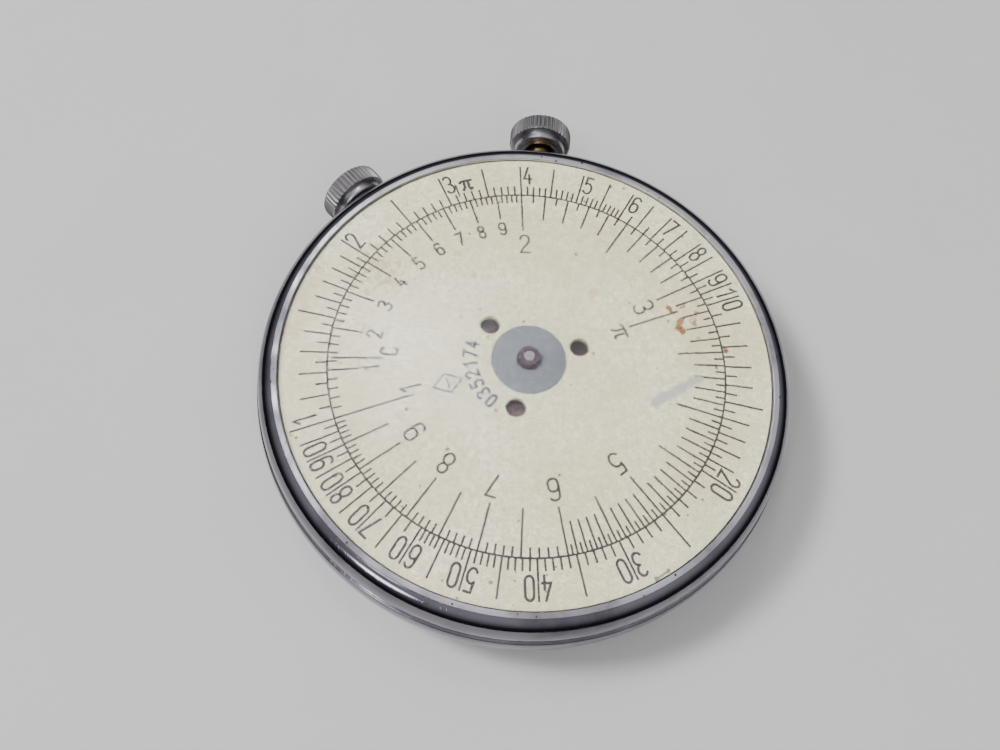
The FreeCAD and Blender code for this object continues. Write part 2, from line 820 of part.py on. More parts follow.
def make_arbor():
    """The shaft through the whole case, stepped down at the front for the pointer's seat."""
    body = turned(
        "arbor_turned",
        [
            ("0", f"{DOWN}arbor_low"),
            ("arbor_radius", f"{DOWN}arbor_low"),
            ("arbor_radius", f"{UP}arbor_shoulder"),
            ("arbor_end", f"{UP}arbor_shoulder"),
            ("arbor_end", f"{UP}arbor_high"),
            ("0", f"{UP}arbor_high"),
        ],
    )
    return subpart(body, "arbor")


def make_pointer_seat():
    """The bare seat of the front pointer on the arbor's end, with its driving cut."""
    tube = ring("seat_turned", "arbor_end", "seat_radius", f"{UP}seat_low", f"{UP}seat_top")
    cut = DOC.addObject("Part::Box", "seat_cut")
    bind(cut, Length="seat_cut", Width="2 * seat_radius + 0.1", Height="seat_cut")
    corner = Vector(size("seat_cut") / 2, size("seat_radius") + 0.05, 0)
    cut.Placement = Placement(Vector(0, 0, size(f"{UP}seat_top - seat_cut")) - corner, Rotation())
    return subpart(without("pointer_seat_cut", tube, [cut]), "pointer_seat")


def make_pointer_wheel():
    """The contrate wheel on the arbor: teeth up towards the pointer crown's pinion."""
    inner, outer = rim_span("pointer_wheel_teeth")
    tip = f"{DOWN}(pinion_teeth * module / 2 - wheel_addendum)"
    web = f"{DOWN}(wheel_back - web_thickness)"
    body = turned(
        "pointer_wheel_turned",
        [
            ("arbor_radius", f"{DOWN}wheel_back"),
            (outer, f"{DOWN}wheel_back"),
            (outer, tip),
            (inner, tip),
            (inner, web),
            ("pointer_hub", web),
            ("pointer_hub", f"{UP}pointer_hub_top"),
            ("arbor_radius", f"{UP}pointer_hub_top"),
        ],
    )
    contrate_slot(body, "pointer_wheel_teeth", DOWN)
    return subpart(body, "pointer_wheel")


def make_back_pointer():
    """The steel blade over the back dial, riveted on a brass boss that is pressed on the arbor."""
    boss = ring("boss_turned", "arbor_radius", "boss_radius", f"{DOWN}boss_low", f"{DOWN}boss_high")
    subpart(boss, "back_pointer_boss")
    body = new_body("blade_body")
    sketch = draw_outline(
        new_sketch(body, "XY_Plane", "blade_outline", f"{DOWN}blade_low"),
        [
            ("-blade_half_width / 2", "-blade_tail"),
            ("blade_half_width / 2", "-blade_tail"),
            ("blade_half_width", "0"),
            ("blade_tip", "blade_reach"),
            ("-blade_tip", "blade_reach"),
            ("-blade_half_width", "0"),
        ],
    )
    pad = body.newObject("PartDesign::Pad", "blade_pad")
    pad.Profile = sketch
    bind(pad, Length="blade_low - blade_high")
    eye = cylinder("blade_eye", "2 * boss_radius", f"{DOWN}blade_low", f"{DOWN}blade_high")
    bore = cylinder("blade_bore", "boss_radius", f"{DOWN}blade_low", f"{DOWN}blade_high")
    return subpart(without("blade_cut", joined("blade_joined", [body, eye]), [bore]), "back_pointer")


# ---------------------------------------------------------------- crowns and stems


def make_crown(label, start, angle):
    """A knurled crown, hollow underneath so that it clears its tube, with a dimple for the enamel dot."""
    cap_face = "crown_length + crown_cap_rise"
    body = turned(
        f"{label}_turned",
        [
            ("crown_recess", "0"),
            ("ring_inner", "0"),
            ("ring_inner", "ring_depth"),
            ("ring_outer", "ring_depth"),
            ("ring_outer", "0"),
            ("crown_boss - crown_edge", "0", "crown_edge"),
            ("crown_boss", "crown_edge"),
            ("crown_boss", "crown_boss_length"),
            ("crown_radius - crown_edge", "crown_boss_length", "crown_edge"),
            ("crown_radius", "crown_boss_length + crown_edge"),
            ("crown_radius", "crown_length - crown_edge", "crown_edge"),
            ("crown_radius - crown_edge", "crown_length"),
            ("crown_cap_radius", cap_face),
            ("dot_radius", cap_face),
            ("dot_radius", f"{cap_face} - dot_depth"),
            ("0", f"{cap_face} - dot_depth"),
            ("0", "crown_recess_depth + stem_grip"),
            ("stem_radius", "crown_recess_depth + stem_grip"),
            ("stem_radius", "crown_recess_depth"),
            ("crown_recess", "crown_recess_depth"),
        ],
    )
    sketch = draw_outline(
        new_sketch(body, "XY_Plane", f"{label}_groove", "crown_boss_length - seam_gap"),
        [
            ("crown_radius - knurl_depth", "0"),
            ("crown_radius + knurl_depth", "-2 * knurl_half_width"),
            ("crown_radius + knurl_depth", "2 * knurl_half_width"),
        ],
    )
    groove = body.newObject("PartDesign::Pocket", f"{label}_knurl")
    groove.Profile = sketch
    groove.Reversed = True
    bind(groove, Length="crown_length - crown_boss_length + 2 * seam_gap")
    repeat_round(body, groove, "knurl_teeth")
    along_stem(body, angle, start)
    return subpart(body, label)


def make_dot(label, start, angle):
    """The enamel dot set in the end of a crown, which tells the two crowns apart."""
    floor = "crown_length + crown_cap_rise - dot_depth"
    body = turned(
        f"{label}_turned",
        [
            ("0", floor),
            ("dot_radius - dot_gap", floor),
            ("dot_radius - dot_gap", f"{floor} + dot_depth"),
            ("dot_radius / 2", f"{floor} + dot_depth + dot_proud"),
            ("0", f"{floor} + dot_depth + dot_proud"),
        ],
    )
    along_stem(body, angle, start)
    return subpart(body, label)


def make_pinion(label, teeth, angle):
    """A ten-leaf pinion pressed on a stem's inner end, with a leaf straight up and one straight down."""
    root = "(pinion_teeth * module / 2 - pinion_dedendum)"
    tip = "(pinion_teeth * module / 2 + pinion_addendum)"
    body = ring(f"{label}_core", "stem_radius", root, "0", "pinion_face")
    start = f"{teeth} * module / 2 - pinion_face / 2"
    sketch = draw_outline(
        new_sketch(body, "XY_Plane", f"{label}_leaf"),
        [
            (f"{root} - 0.2", "-pinion_root_land / 2"),
            (tip, "-pinion_tip_land / 2"),
            (tip, "pinion_tip_land / 2"),
            (f"{root} - 0.2", "pinion_root_land / 2"),
        ],
    )
    leaf = body.newObject("PartDesign::Pad", f"{label}_pad")
    leaf.Profile = sketch
    bind(leaf, Length="pinion_face")
    repeat_round(body, leaf, "pinion_teeth")
    along_stem(body, angle, start)
    return subpart(body, label)


def make_stem(label, teeth, crown_start, angle):
    start = f"{teeth} * module / 2 - pinion_face / 2"
    end = f"{crown_start} + crown_recess_depth + stem_grip"
    return subpart(stem_cylinder(f"{label}_rod", "stem_radius", start, end, angle), label)


def stem_sleeve(label, bore, radius, start, end, angle):
    """A plain tube or collar on a stem."""
    outside = stem_cylinder(f"{label}_outside", radius, start, end, angle)
    inside = stem_cylinder(f"{label}_inside", bore, start, end, angle)
    return subpart(without(f"{label}_cut", outside, [inside]), label)


def make_post(label, start, angle):
    """The bearing block of a stem's inner end, screwed to the plate from below."""
    block = DOC.addObject("Part::Box", f"{label}_block")
    bind(block, Length="post_length", Width="post_width", Height="post_top + plate_top")
    turn = Rotation(Vector(0, 0, 1), angle)
    corner = turn.multVec(Vector(size(start), -size("post_width") / 2, 0))
    block.Placement = Placement(corner + Vector(0, 0, size(f"{DOWN}plate_top")), turn)
    bore = stem_cylinder(f"{label}_bore", "stem_radius + running_gap", start, f"{start} + post_length", angle)
    tap = cylinder(f"{label}_tap", "small_screw", f"{DOWN}plate_top", f"{DOWN}post_screw_end",
                   f"{start} + post_length / 2", angle)
    return subpart(without(f"{label}_cut", block, [bore, tap]), label)


def make_post_screws(post_places):
    screws = [
        make_screw(f"post_screw_{index}", "small_screw", "small_head", f"{DOWN}post_screw_end",
                   f"{DOWN}dial_back + head_height", f"{DOWN}dial_back", f"{start} + post_length / 2", angle,
                   angle + 35 * (index + 1))
        for index, (start, angle) in enumerate(post_places)
    ]
    return group("post_screws", screws)


def make_crown_side(side, teeth, angle):
    """Everything that turns with one crown, and the tube and post that it turns in."""
    crown_start = f"{side}_crown_start"
    make_crown(f"{side}_crown", crown_start, angle)
    make_dot(f"{side}_crown_dot", crown_start, angle)
    make_stem(f"{side}_stem", teeth, crown_start, angle)
    make_pinion(f"{side}_pinion", teeth, angle)
    stem_sleeve(f"{side}_stem_collar", "stem_radius", "collar_radius", "collar_start",
                "collar_start + collar_length", angle)
    stem_sleeve(f"{side}_crown_tube", "stem_radius + running_gap", "tube_radius", "tube_start",
                f"{side}_tube_end", angle)
    make_post(f"{side}_stem_post", f"{side}_post_start", angle)


# ---------------------------------------------------------------- build, check and export


def build():
    fill_sheet()
    pointer_stem_angle = DIAL_STEM_ANGLE + size("crown_angle")
    stem_angles = [DIAL_STEM_ANGLE, pointer_stem_angle]
    screw_angles = angles_round(PLATE_SCREWS, size("plate_screw_angle"))
    post_places = [("dial_post_start", DIAL_STEM_ANGLE), ("pointer_post_start", pointer_stem_angle)]
    make_case_ring(stem_angles)
    make_front_bezel()
    make_back_bezel()
    make_front_crystal()
    make_back_crystal()
    make_base_plate(screw_angles, post_places)
    make_plate_screws(screw_angles)
    make_bridge()
    make_pillars()
    make_bridge_screws()
    make_centre_bushing()
    make_plate_bushing()
    make_fixed_rings()
    make_back_dial()
    make_front_dial()
    make_dial_hub()
    make_hub_cap()
    make_dial_wheel()
    make_wheel_screws()
    make_arbor()
    make_pointer_seat()
    make_pointer_wheel()
    make_back_pointer()
    make_post_screws(post_places)
    make_crown_side("dial", "dial_wheel_teeth", DIAL_STEM_ANGLE)
    make_crown_side("pointer", "pointer_wheel_teeth", pointer_stem_angle)
    DOC.recompute()


def check():
    """Stops if anything failed, if a cut took nothing away, or if a piece isn't a sound solid."""
    for item in DOC.Objects:
        if {"Invalid", "Error"} & set(item.State):
            raise RuntimeError(f"{item.Name} failed: {item.State}")
        if item.TypeId in ("PartDesign::Pocket", "PartDesign::Groove") and item.BaseFeature:
            if item.BaseFeature.Shape.Volume - item.Shape.Volume < 1e-4:
                raise RuntimeError(f"{item.Name} cuts nothing")
    for item in SUBPARTS:
        shape = item.Shape
        if shape.isNull() or not shape.isValid() or not shape.Solids:
            raise RuntimeError(f"{item.Label} is not a sound solid")


def export():
    os.makedirs("parts", exist_ok=True)
    for item in SUBPARTS:
        item.Shape.exportStep(os.path.join("parts", f"{item.Label}.step"))
        solids = len(item.Shape.Solids)
        print(f"{item.Label}: {solids} solid(s), {item.Shape.Volume:.2f} mm3")


build()
check()
export()
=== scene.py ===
"""Looks of a watch-shaped circular slide rule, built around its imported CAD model.

The case, crystals, dials, crowns and tubes are finely turned meshes that stand for the coarser CAD nodes. The
works behind the dial are the CAD nodes themselves. The printed scales are flat ink shapes worked out from the
logarithms they show. All sizes below are millimetres and are written to the meshes in metres, in the frame of
the CAD model: +Z out through the front dial, the dial crown along +Y.
"""

import json
import logging
import math
from collections.abc import Callable, Iterable, Sequence
from dataclasses import dataclass, field
from enum import Enum

import bpy
import numpy as np
from mathutils import Matrix, Vector

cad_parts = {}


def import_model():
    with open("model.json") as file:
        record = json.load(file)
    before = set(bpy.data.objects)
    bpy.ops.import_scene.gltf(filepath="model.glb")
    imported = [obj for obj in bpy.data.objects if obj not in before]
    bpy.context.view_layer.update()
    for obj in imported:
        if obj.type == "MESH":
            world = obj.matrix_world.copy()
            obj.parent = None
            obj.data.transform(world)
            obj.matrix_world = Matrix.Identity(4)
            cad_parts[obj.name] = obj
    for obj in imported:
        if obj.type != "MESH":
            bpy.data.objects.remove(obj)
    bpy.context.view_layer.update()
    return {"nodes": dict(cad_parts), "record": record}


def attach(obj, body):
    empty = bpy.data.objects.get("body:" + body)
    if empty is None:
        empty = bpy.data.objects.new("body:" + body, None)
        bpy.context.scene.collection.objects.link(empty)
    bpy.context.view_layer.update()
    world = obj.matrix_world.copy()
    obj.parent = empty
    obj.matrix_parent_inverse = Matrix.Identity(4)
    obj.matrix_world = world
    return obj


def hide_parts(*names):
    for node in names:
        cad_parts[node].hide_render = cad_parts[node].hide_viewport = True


LOG = logging.getLogger("slide_rule")
MM = 0.001
MID = 5.2
UNIT = 18.5
FIRST_LINE = 203.9
DIAL_FACE = MID + 3.75
DIAL_RADIUS = 22.85
BACK_DIAL_FACE = MID - 3.75

Point = tuple[float, float]
Color = tuple[float, float, float]


class Side(Enum):
    """The two faces of the case."""

    FRONT = 1
    BACK = -1


# ---------------------------------------------------------------- meshes


def arc(centre: Point, radius: float, start: float, end: float, steps: int = 10) -> list[Point]:
    """Points along an arc.

    Args:
        centre: The arc's centre.
        radius: Its radius.
        start: The angle it starts at, in degrees.
        end: The angle it ends at, in degrees.
        steps: How many chords it is made of.

    Returns:
        The points, both ends among them.
    """
    return ellipse(centre, (radius, radius), start, end, steps)


def ellipse(centre: Point, radii: Point, start: float, end: float, steps: int = 10) -> list[Point]:
    """Points along part of an ellipse, from one angle in degrees to another."""
    turn = np.radians(np.linspace(start, end, steps + 1))
    return [(centre[0] + radii[0] * math.cos(a), centre[1] + radii[1] * math.sin(a)) for a in turn]


@dataclass
class MeshMaker:
    """Gathers faces in millimetres and makes one mesh object of them."""

    vertices: list[tuple[float, float, float]] = field(default_factory=list)
    faces: list[list[int]] = field(default_factory=list)
    zones: list[int] = field(default_factory=list)

    def add(self, points: Iterable[Sequence[float]], faces: Iterable[Sequence[int]], zone: int = 0) -> None:
        """Adds some vertices and the faces between them, which all use one material slot."""
        first = len(self.vertices)
        self.vertices.extend(tuple(float(x) for x in point) for point in points)
        for face in faces:
            self.faces.append([first + i for i in face])
            self.zones.append(zone)

    def lathe(
        self,
        profile: Sequence[Point],
        place: Matrix | None = None,
        steps: int = 256,
        zones: Sequence[int] | None = None,
        limit: Callable[[float, np.ndarray], np.ndarray] | None = None,
    ) -> None:
        """Adds a closed outline turned about the Z axis.

        Args:
            profile: (radius, height) corners of the outline, in order; it closes by itself.
            place: Where the turned piece goes, or None for the frame's own axis.
            steps: How many facets there are around it.
            zones: The material slot of the band after each corner.
            limit: For a height and all the facet angles, the largest radius there.
        """
        turn = np.linspace(0, 2 * math.pi, steps, endpoint=False)
        place = place or Matrix.Identity(4)
        rings = []
        for radius, height in profile:
            if radius < 1e-6:
                rings.append([len(self.vertices)])
                self.vertices.append(tuple(place @ Vector((0, 0, height))))
                continue
            radii = np.full(steps, radius)
            if limit is not None:
                radii = np.minimum(radii, limit(height, turn))
            first = len(self.vertices)
            for r, a in zip(radii, turn):
                self.vertices.append(tuple(place @ Vector((r * math.cos(a), r * math.sin(a), height))))
            rings.append(list(range(first, first + steps)))
        for index, lower in enumerate(rings):
            upper = rings[(index + 1) % len(rings)]
            zone = zones[index] if zones else 0
            for k in range(steps if len(lower) + len(upper) > 2 else 0):
                after = (k + 1) % steps
                if len(lower) == 1:
                    face = [lower[0], upper[after], upper[k]]
                elif len(upper) == 1:
                    face = [lower[k], lower[after], upper[0]]
                else:
                    face = [lower[k], lower[after], upper[after], upper[k]]
                self.faces.append(face)
                self.zones.append(zone)

    def build(
        self, name: str, materials: Sequence[bpy.types.Material], smooth: float = 0.0
    ) -> bpy.types.Object:
        """Makes the object.

        Args:
            name: Its name in the scene.
            materials: One material for each zone number.
            smooth: Edges that turn by less than this many degrees are shaded smooth; 0 shades it flat.

        Returns:
            The new mesh object.
        """
        mesh = bpy.data.meshes.new(name)
        mesh.from_pydata([tuple(x * MM for x in v) for v in self.vertices], [], self.faces)
        for material in materials:
            mesh.materials.append(material)
        mesh.polygons.foreach_set("material_index", self.zones)
        obj = bpy.data.objects.new(name, mesh)
        bpy.context.scene.collection.objects.link(obj)
        if smooth:
            mesh.polygons.foreach_set("use_smooth", [True] * len(mesh.polygons))
            mesh.set_sharp_from_angle(angle=math.radians(smooth))
        mesh.update()
        LOG.info("%s: %d faces", name, len(mesh.polygons))
        return obj


def plate(name: str, outlines: Sequence[Sequence[Point]], low: float, high: float) -> bpy.types.Object:
    """Makes a flat plate with holes.

    Args:
        name: Its name in the scene.
        outlines: The outer outline, then one for each hole.
        low: The height of its lower face.
        high: The height of its upper face.

    Returns:
        The new mesh object, with no material yet.
    """
    curve = bpy.data.curves.new(f"{name}_outline", "CURVE")
    curve.dimensions = "2D"
    curve.fill_mode = "BOTH"
    curve.extrude = (high - low) / 2 * MM
    for outline in outlines:
        spline = curve.splines.new("POLY")
        spline.points.add(len(outline) - 1)
        spline.use_cyclic_u = True
        for point, (x, y) in zip(spline.points, outline):
            point.co = (x * MM, y * MM, 0, 1)
    drawn = bpy.data.objects.new(f"{name}_outline", curve)
    bpy.context.scene.collection.objects.link(drawn)
    mesh = bpy.data.meshes.new_from_object(drawn.evaluated_get(bpy.context.evaluated_depsgraph_get()))
    mesh.transform(Matrix.Translation((0, 0, (low + high) / 2 * MM)))
    mesh.name = name
    bpy.data.objects.remove(drawn)
    bpy.data.curves.remove(curve)
    obj = bpy.data.objects.new(name, mesh)
    bpy.context.scene.collection.objects.link(obj)
    LOG.info("%s: %d faces", name, len(mesh.polygons))
    return obj


def outwards(angle: float, distance: float) -> Matrix:
    """The place of a turned piece that lies along a stem, from a distance away from the case's axis."""
    turn = Matrix.Rotation(math.radians(angle), 4, "Z")
    return turn @ Matrix.Translation((distance, 0, MID)) @ Matrix.Rotation(math.radians(90), 4, "Y")


# ---------------------------------------------------------------- shader groups


class Net:
    """A thin wrapper that adds nodes to a tree and links them."""

    def __init__(self, tree: bpy.types.NodeTree) -> None:
        self.tree = tree

    def node(self, kind: str, inputs: dict | None = None, **settings) -> bpy.types.Node:
        """Adds a node.

        Args:
            kind: The node's type name, without its ShaderNode start.
            inputs: Values or output sockets, by input name or number.
            **settings: Properties of the node.

        Returns:
            The new node.
        """
        node = self.tree.nodes.new(f"ShaderNode{kind}")
        for name, value in settings.items():
            setattr(node, name, value)
        for name, value in (inputs or {}).items():
            socket = node.inputs[name]
            if isinstance(value, bpy.types.NodeSocket):
                self.tree.links.new(value, socket)
            else:
                socket.default_value = value
        return node

    def math(self, operation: str, *values: float | bpy.types.NodeSocket) -> bpy.types.NodeSocket:
        """The result of a Math node."""
        return self.node("Math", dict(enumerate(values)), operation=operation).outputs[0]

    def vector(self, operation: str, *values, output: int = 0) -> bpy.types.NodeSocket:
        """A result of a Vector Math node."""
        return self.node("VectorMath", dict(enumerate(values)), operation=operation).outputs[output]

    def ramp(self, value: bpy.types.NodeSocket, low: float, high: float) -> bpy.types.NodeSocket:
        """The value spread from 0 at low to 1 at high, smoothly, and held outside them."""
        inputs = {"Value": value, "From Min": low, "From Max": high}
        return self.node("MapRange", inputs, interpolation_type="SMOOTHSTEP").outputs["Result"]

    def blend(self, factor, first, second) -> bpy.types.NodeSocket:
        """Two colours mixed by a factor."""
        node = self.node("Mix", data_type="RGBA")
        for index, value in ((0, factor), (6, first), (7, second)):
            if isinstance(value, bpy.types.NodeSocket):
                self.tree.links.new(value, node.inputs[index])
            elif index:
                node.inputs[index].default_value = (*value, 1)
            else:
                node.inputs[index].default_value = value
        return node.outputs[2]

    def group(self, made: bpy.types.NodeTree, inputs: dict | None = None) -> bpy.types.Node:
        """Adds a node group."""
        node = self.node("Group", node_tree=made)
        for name, value in (inputs or {}).items():
            if isinstance(value, bpy.types.NodeSocket):
                self.tree.links.new(value, node.inputs[name])
            else:
                node.inputs[name].default_value = value
        return node


def new_group(name: str, inputs: dict[str, tuple[str, object]], outputs: Sequence[str]) -> tuple:
    """Starts a shader node group whose outputs are plain values.

    Args:
        name: The group's name.
        inputs: For each input, its socket type and default value.
        outputs: The names of its outputs.

    Returns:
        The tree, its Net, its input node and its output node.
    """
    tree = bpy.data.node_groups.new(name, "ShaderNodeTree")
    for label, (kind, value) in inputs.items():
        socket = tree.interface.new_socket(name=label, in_out="INPUT", socket_type=f"NodeSocket{kind}")
        if value is not None:
            socket.default_value = value
    for label in outputs:
        tree.interface.new_socket(name=label, in_out="OUTPUT", socket_type="NodeSocketFloat")
    net = Net(tree)
    return tree, net, tree.nodes.new("NodeGroupInput"), tree.nodes.new("NodeGroupOutput")


@dataclass(frozen=True)
class Effects:
    """The shader groups that several finishes share."""

    grain: bpy.types.NodeTree
    specks: bpy.types.NodeTree
    hairlines: bpy.types.NodeTree
    streak: bpy.types.NodeTree

    @classmethod
    def make(cls) -> "Effects":
        """Builds each group once."""
        return cls(cls._grain(), cls._specks(), cls._hairlines(), cls._streak())

    @staticmethod
    def _grain() -> bpy.types.NodeTree:
        """Fine and broad unevenness of a surface, both from 0 to 1."""
        tree, net, given, found = new_group(
            "surface_grain", {"Vector": ("Vector", None), "Scale": ("Float", 400.0)}, ("Fine", "Broad")
        )
        vector, scale = given.outputs["Vector"], given.outputs["Scale"]
        fine = net.node("TexNoise", {"Vector": vector, "Scale": scale, "Detail": 6.0, "Roughness": 0.65})
        wide = net.math("MULTIPLY", scale, 0.12)
        broad = net.node("TexNoise", {"Vector": vector, "Scale": wide, "Detail": 3.0, "Roughness": 0.55})
        tree.links.new(net.ramp(fine.outputs["Fac"], 0.3, 0.7), found.inputs["Fine"])
        tree.links.new(net.ramp(broad.outputs["Fac"], 0.35, 0.65), found.inputs["Broad"])
        return tree

    @staticmethod
    def _specks() -> bpy.types.NodeTree:
        """Scattered dots of uneven size: 1 in a dot and 0 outside it."""
        tree, net, given, found = new_group(
            "scattered_specks",
            {"Vector": ("Vector", None), "Scale": ("Float", 900.0), "Share": ("Float", 0.1)},
            ("Mask",),
        )
        cells = net.node(
            "TexVoronoi", {"Vector": given.outputs["Vector"], "Scale": given.outputs["Scale"]}
        )
        pick = net.node("SeparateColor", {"Color": cells.outputs["Color"]})
        size = net.math("MULTIPLY_ADD", pick.outputs[1], 0.26, 0.1)
        inside = net.math("SUBTRACT", size, cells.outputs["Distance"])
        dot = net.ramp(inside, 0.0, 0.08)
        chosen = net.math("LESS_THAN", pick.outputs[0], given.outputs["Share"])
        tree.links.new(net.math("MULTIPLY", dot, chosen), found.inputs["Mask"])
        return tree

    @staticmethod
    def _hairlines() -> bpy.types.NodeTree:
        """Fine scratches in several directions: 1 on a scratch and 0 off it."""
        tree, net, given, found = new_group(
            "hairline_scratches", {"Vector": ("Vector", None), "Scale": ("Float", 120.0)}, ("Mask",)
        )
        total: bpy.types.NodeSocket | None = None
        for index, angle in enumerate((12.0, 71.0, 134.0)):
            turned = net.node(
                "Mapping",
                {
                    "Vector": given.outputs["Vector"],
                    "Location": (0.013 * index, 0.007 * index, 0.0),
                    "Rotation": (0.0, 0.0, math.radians(angle)),
                    "Scale": (1.0, 0.045, 1.0),
                },
            )
            noise = net.node(
                "TexNoise",
                {
                    "Vector": turned.outputs[0],
                    "Scale": given.outputs["Scale"],
                    "Detail": 2.0,
                    "Distortion": 0.4,
                },
            )
            off = net.math("ABSOLUTE", net.math("SUBTRACT", noise.outputs["Fac"], 0.5))
            line = net.math("SUBTRACT", 1.0, net.ramp(off, 0.0, 0.012))
            total = line if total is None else net.math("MAXIMUM", total, line)
        tree.links.new(total, found.inputs["Mask"])
        return tree

    @staticmethod
    def _streak() -> bpy.types.NodeTree:
        """A soft-edged mark along a line between two points, or a spot where they are one point."""
        tree, net, given, found = new_group(
            "placed_mark",
            {
                "Vector": ("Vector", None),
                "Start": ("Vector", (0.0, 0.0, 0.0)),
                "End": ("Vector", (0.0, 0.0, 0.0)),
                "Radius": ("Float", 0.001),
                "Ragged": ("Float", 0.5),
            },
            ("Mask",),
        )
        vector = given.outputs["Vector"]
        flat = net.vector("MULTIPLY", vector, (1.0, 1.0, 0.0))
        along = net.vector("SUBTRACT", given.outputs["End"], given.outputs["Start"])
        offset = net.vector("SUBTRACT", flat, given.outputs["Start"])
        reach = net.math("ADD", net.vector("DOT_PRODUCT", along, along, output=1), 1e-12)
        share = net.math("DIVIDE", net.vector("DOT_PRODUCT", offset, along, output=1), reach)
        held = net.node("Clamp", {"Value": share}).outputs[0]
        scaled = net.node("VectorMath", {0: along, "Scale": held}, operation="SCALE").outputs[0]
        away = net.vector("LENGTH", net.vector("SUBTRACT", offset, scaled), output=1)
        noise = net.node("TexNoise", {"Vector": vector, "Scale": 1400.0, "Detail": 4.0})
        shift = net.math("MULTIPLY", net.math("SUBTRACT", noise.outputs["Fac"], 0.5), given.outputs["Ragged"])
        share = net.math("DIVIDE", away, given.outputs["Radius"])
        spread = net.math("MULTIPLY_ADD", shift, 2.0, share)
        mask = net.math("SUBTRACT", 1.0, net.ramp(spread, 0.4, 1.15))
        tree.links.new(mask, found.inputs["Mask"])
        return tree


# ---------------------------------------------------------------- finishes


def new_material(name: str) -> tuple[bpy.types.Material, Net, bpy.types.Node, bpy.types.NodeSocket]:
    """Starts a material: returns it, its Net, its Principled shader and the piece's own coordinates."""
    material = bpy.data.materials.new(name)
    material.use_nodes = True
    net = Net(material.node_tree)
    shader = next(n for n in material.node_tree.nodes if n.type == "BSDF_PRINCIPLED")
    return material, net, shader, net.node("TexCoord").outputs["Object"]


def shade(color: Color, factor: float) -> Color:
    """A colour made darker or lighter by a factor."""
    return tuple(factor * c for c in color)


def set_bump(net: Net, shader: bpy.types.Node, height: bpy.types.NodeSocket, depth: float) -> None:
    """Bumps a shader's surface by a height, at most depth millimetres deep."""
    bump = net.node("Bump", {"Height": height, "Strength": 1.0, "Distance": depth * MM})
    net.tree.links.new(bump.outputs["Normal"], shader.inputs["Normal"])


@dataclass(frozen=True)
class Metal:
    """A bare or plated metal.

    Attributes:
        name: The material's name.
        color: Its colour where clean.
        tarnish: Its colour where dull.
        roughness: Its roughness where clean.
        dulling: How much rougher it is where dull.
        cover: How far the dull areas reach, from 0 to 1.
        specks: The share of surface cells with a dark speck.
        scratch: The depth of its scratches in millimetres.
    """

    name: str
    color: Color
    tarnish: Color
    roughness: float = 0.15
    dulling: float = 0.2
    cover: float = 0.4
    specks: float = 0.0
    scratch: float = 0.002

    def make(self, effects: Effects) -> bpy.types.Material:
        """Builds the material."""
        material, net, shader, at = new_material(self.name)
        grain = net.group(effects.grain, {"Vector": at, "Scale": 900.0})
        specks = net.group(effects.specks, {"Vector": at, "Scale": 2600.0, "Share": self.specks})
        lines = net.group(effects.hairlines, {"Vector": at, "Scale": 700.0})
        dull = net.ramp(net.math("ADD", grain.outputs["Broad"], self.cover - 0.5), 0.2, 0.9)
        dull = net.math("MULTIPLY", dull, net.math("MULTIPLY_ADD", grain.outputs["Fine"], 0.4, 0.6))
        color = net.blend(dull, self.color, self.tarnish)
        color = net.blend(specks.outputs["Mask"], color, shade(self.tarnish, 0.25))
        rough = net.math("MULTIPLY_ADD", dull, self.dulling, self.roughness)
        rough = net.math("MULTIPLY_ADD", specks.outputs["Mask"], 0.3, rough)
        net.tree.links.new(color, shader.inputs["Base Color"])
        net.tree.links.new(rough, shader.inputs["Roughness"])
        shader.inputs["Metallic"].default_value = 1.0
        height = net.math("MULTIPLY", grain.outputs["Fine"], 0.15)
        height = net.math("SUBTRACT", height, lines.outputs["Mask"])
        height = net.math("SUBTRACT", height, specks.outputs["Mask"])
        set_bump(net, shader, height, self.scratch)
        return material


@dataclass(frozen=True)
class Mark:
    """A stain or streak at a place on a dial.

    Attributes:
        start: Where it starts: millimetres from the middle, and degrees clockwise from the 1 line.
        end: Where it ends.
        radius: How wide it reaches, in millimetres.
        color: Its colour.
        strength: How fully it covers, from 0 to 1.
        ragged: How uneven its edge is.
    """

    start: Point
    end: Point
    radius: float
    color: Color
    strength: float = 0.8
    ragged: float = 0.5

    def mask(self, net: Net, effects: Effects, at: bpy.types.NodeSocket) -> bpy.types.NodeSocket:
        """The mark's mask in a material, scaled by its strength."""
        node = net.group(
            effects.streak,
            {
                "Vector": at,
                "Start": self._place(self.start),
                "End": self._place(self.end),
                "Radius": self.radius * MM,
                "Ragged": self.ragged,
            },
        )
        return net.math("MULTIPLY", node.outputs["Mask"], self.strength)

    @staticmethod
    def _place(polar: Point) -> tuple[float, float, float]:
        angle = math.radians(FIRST_LINE - polar[1])
        return (polar[0] * MM * math.cos(angle), polar[0] * MM * math.sin(angle), 0.0)


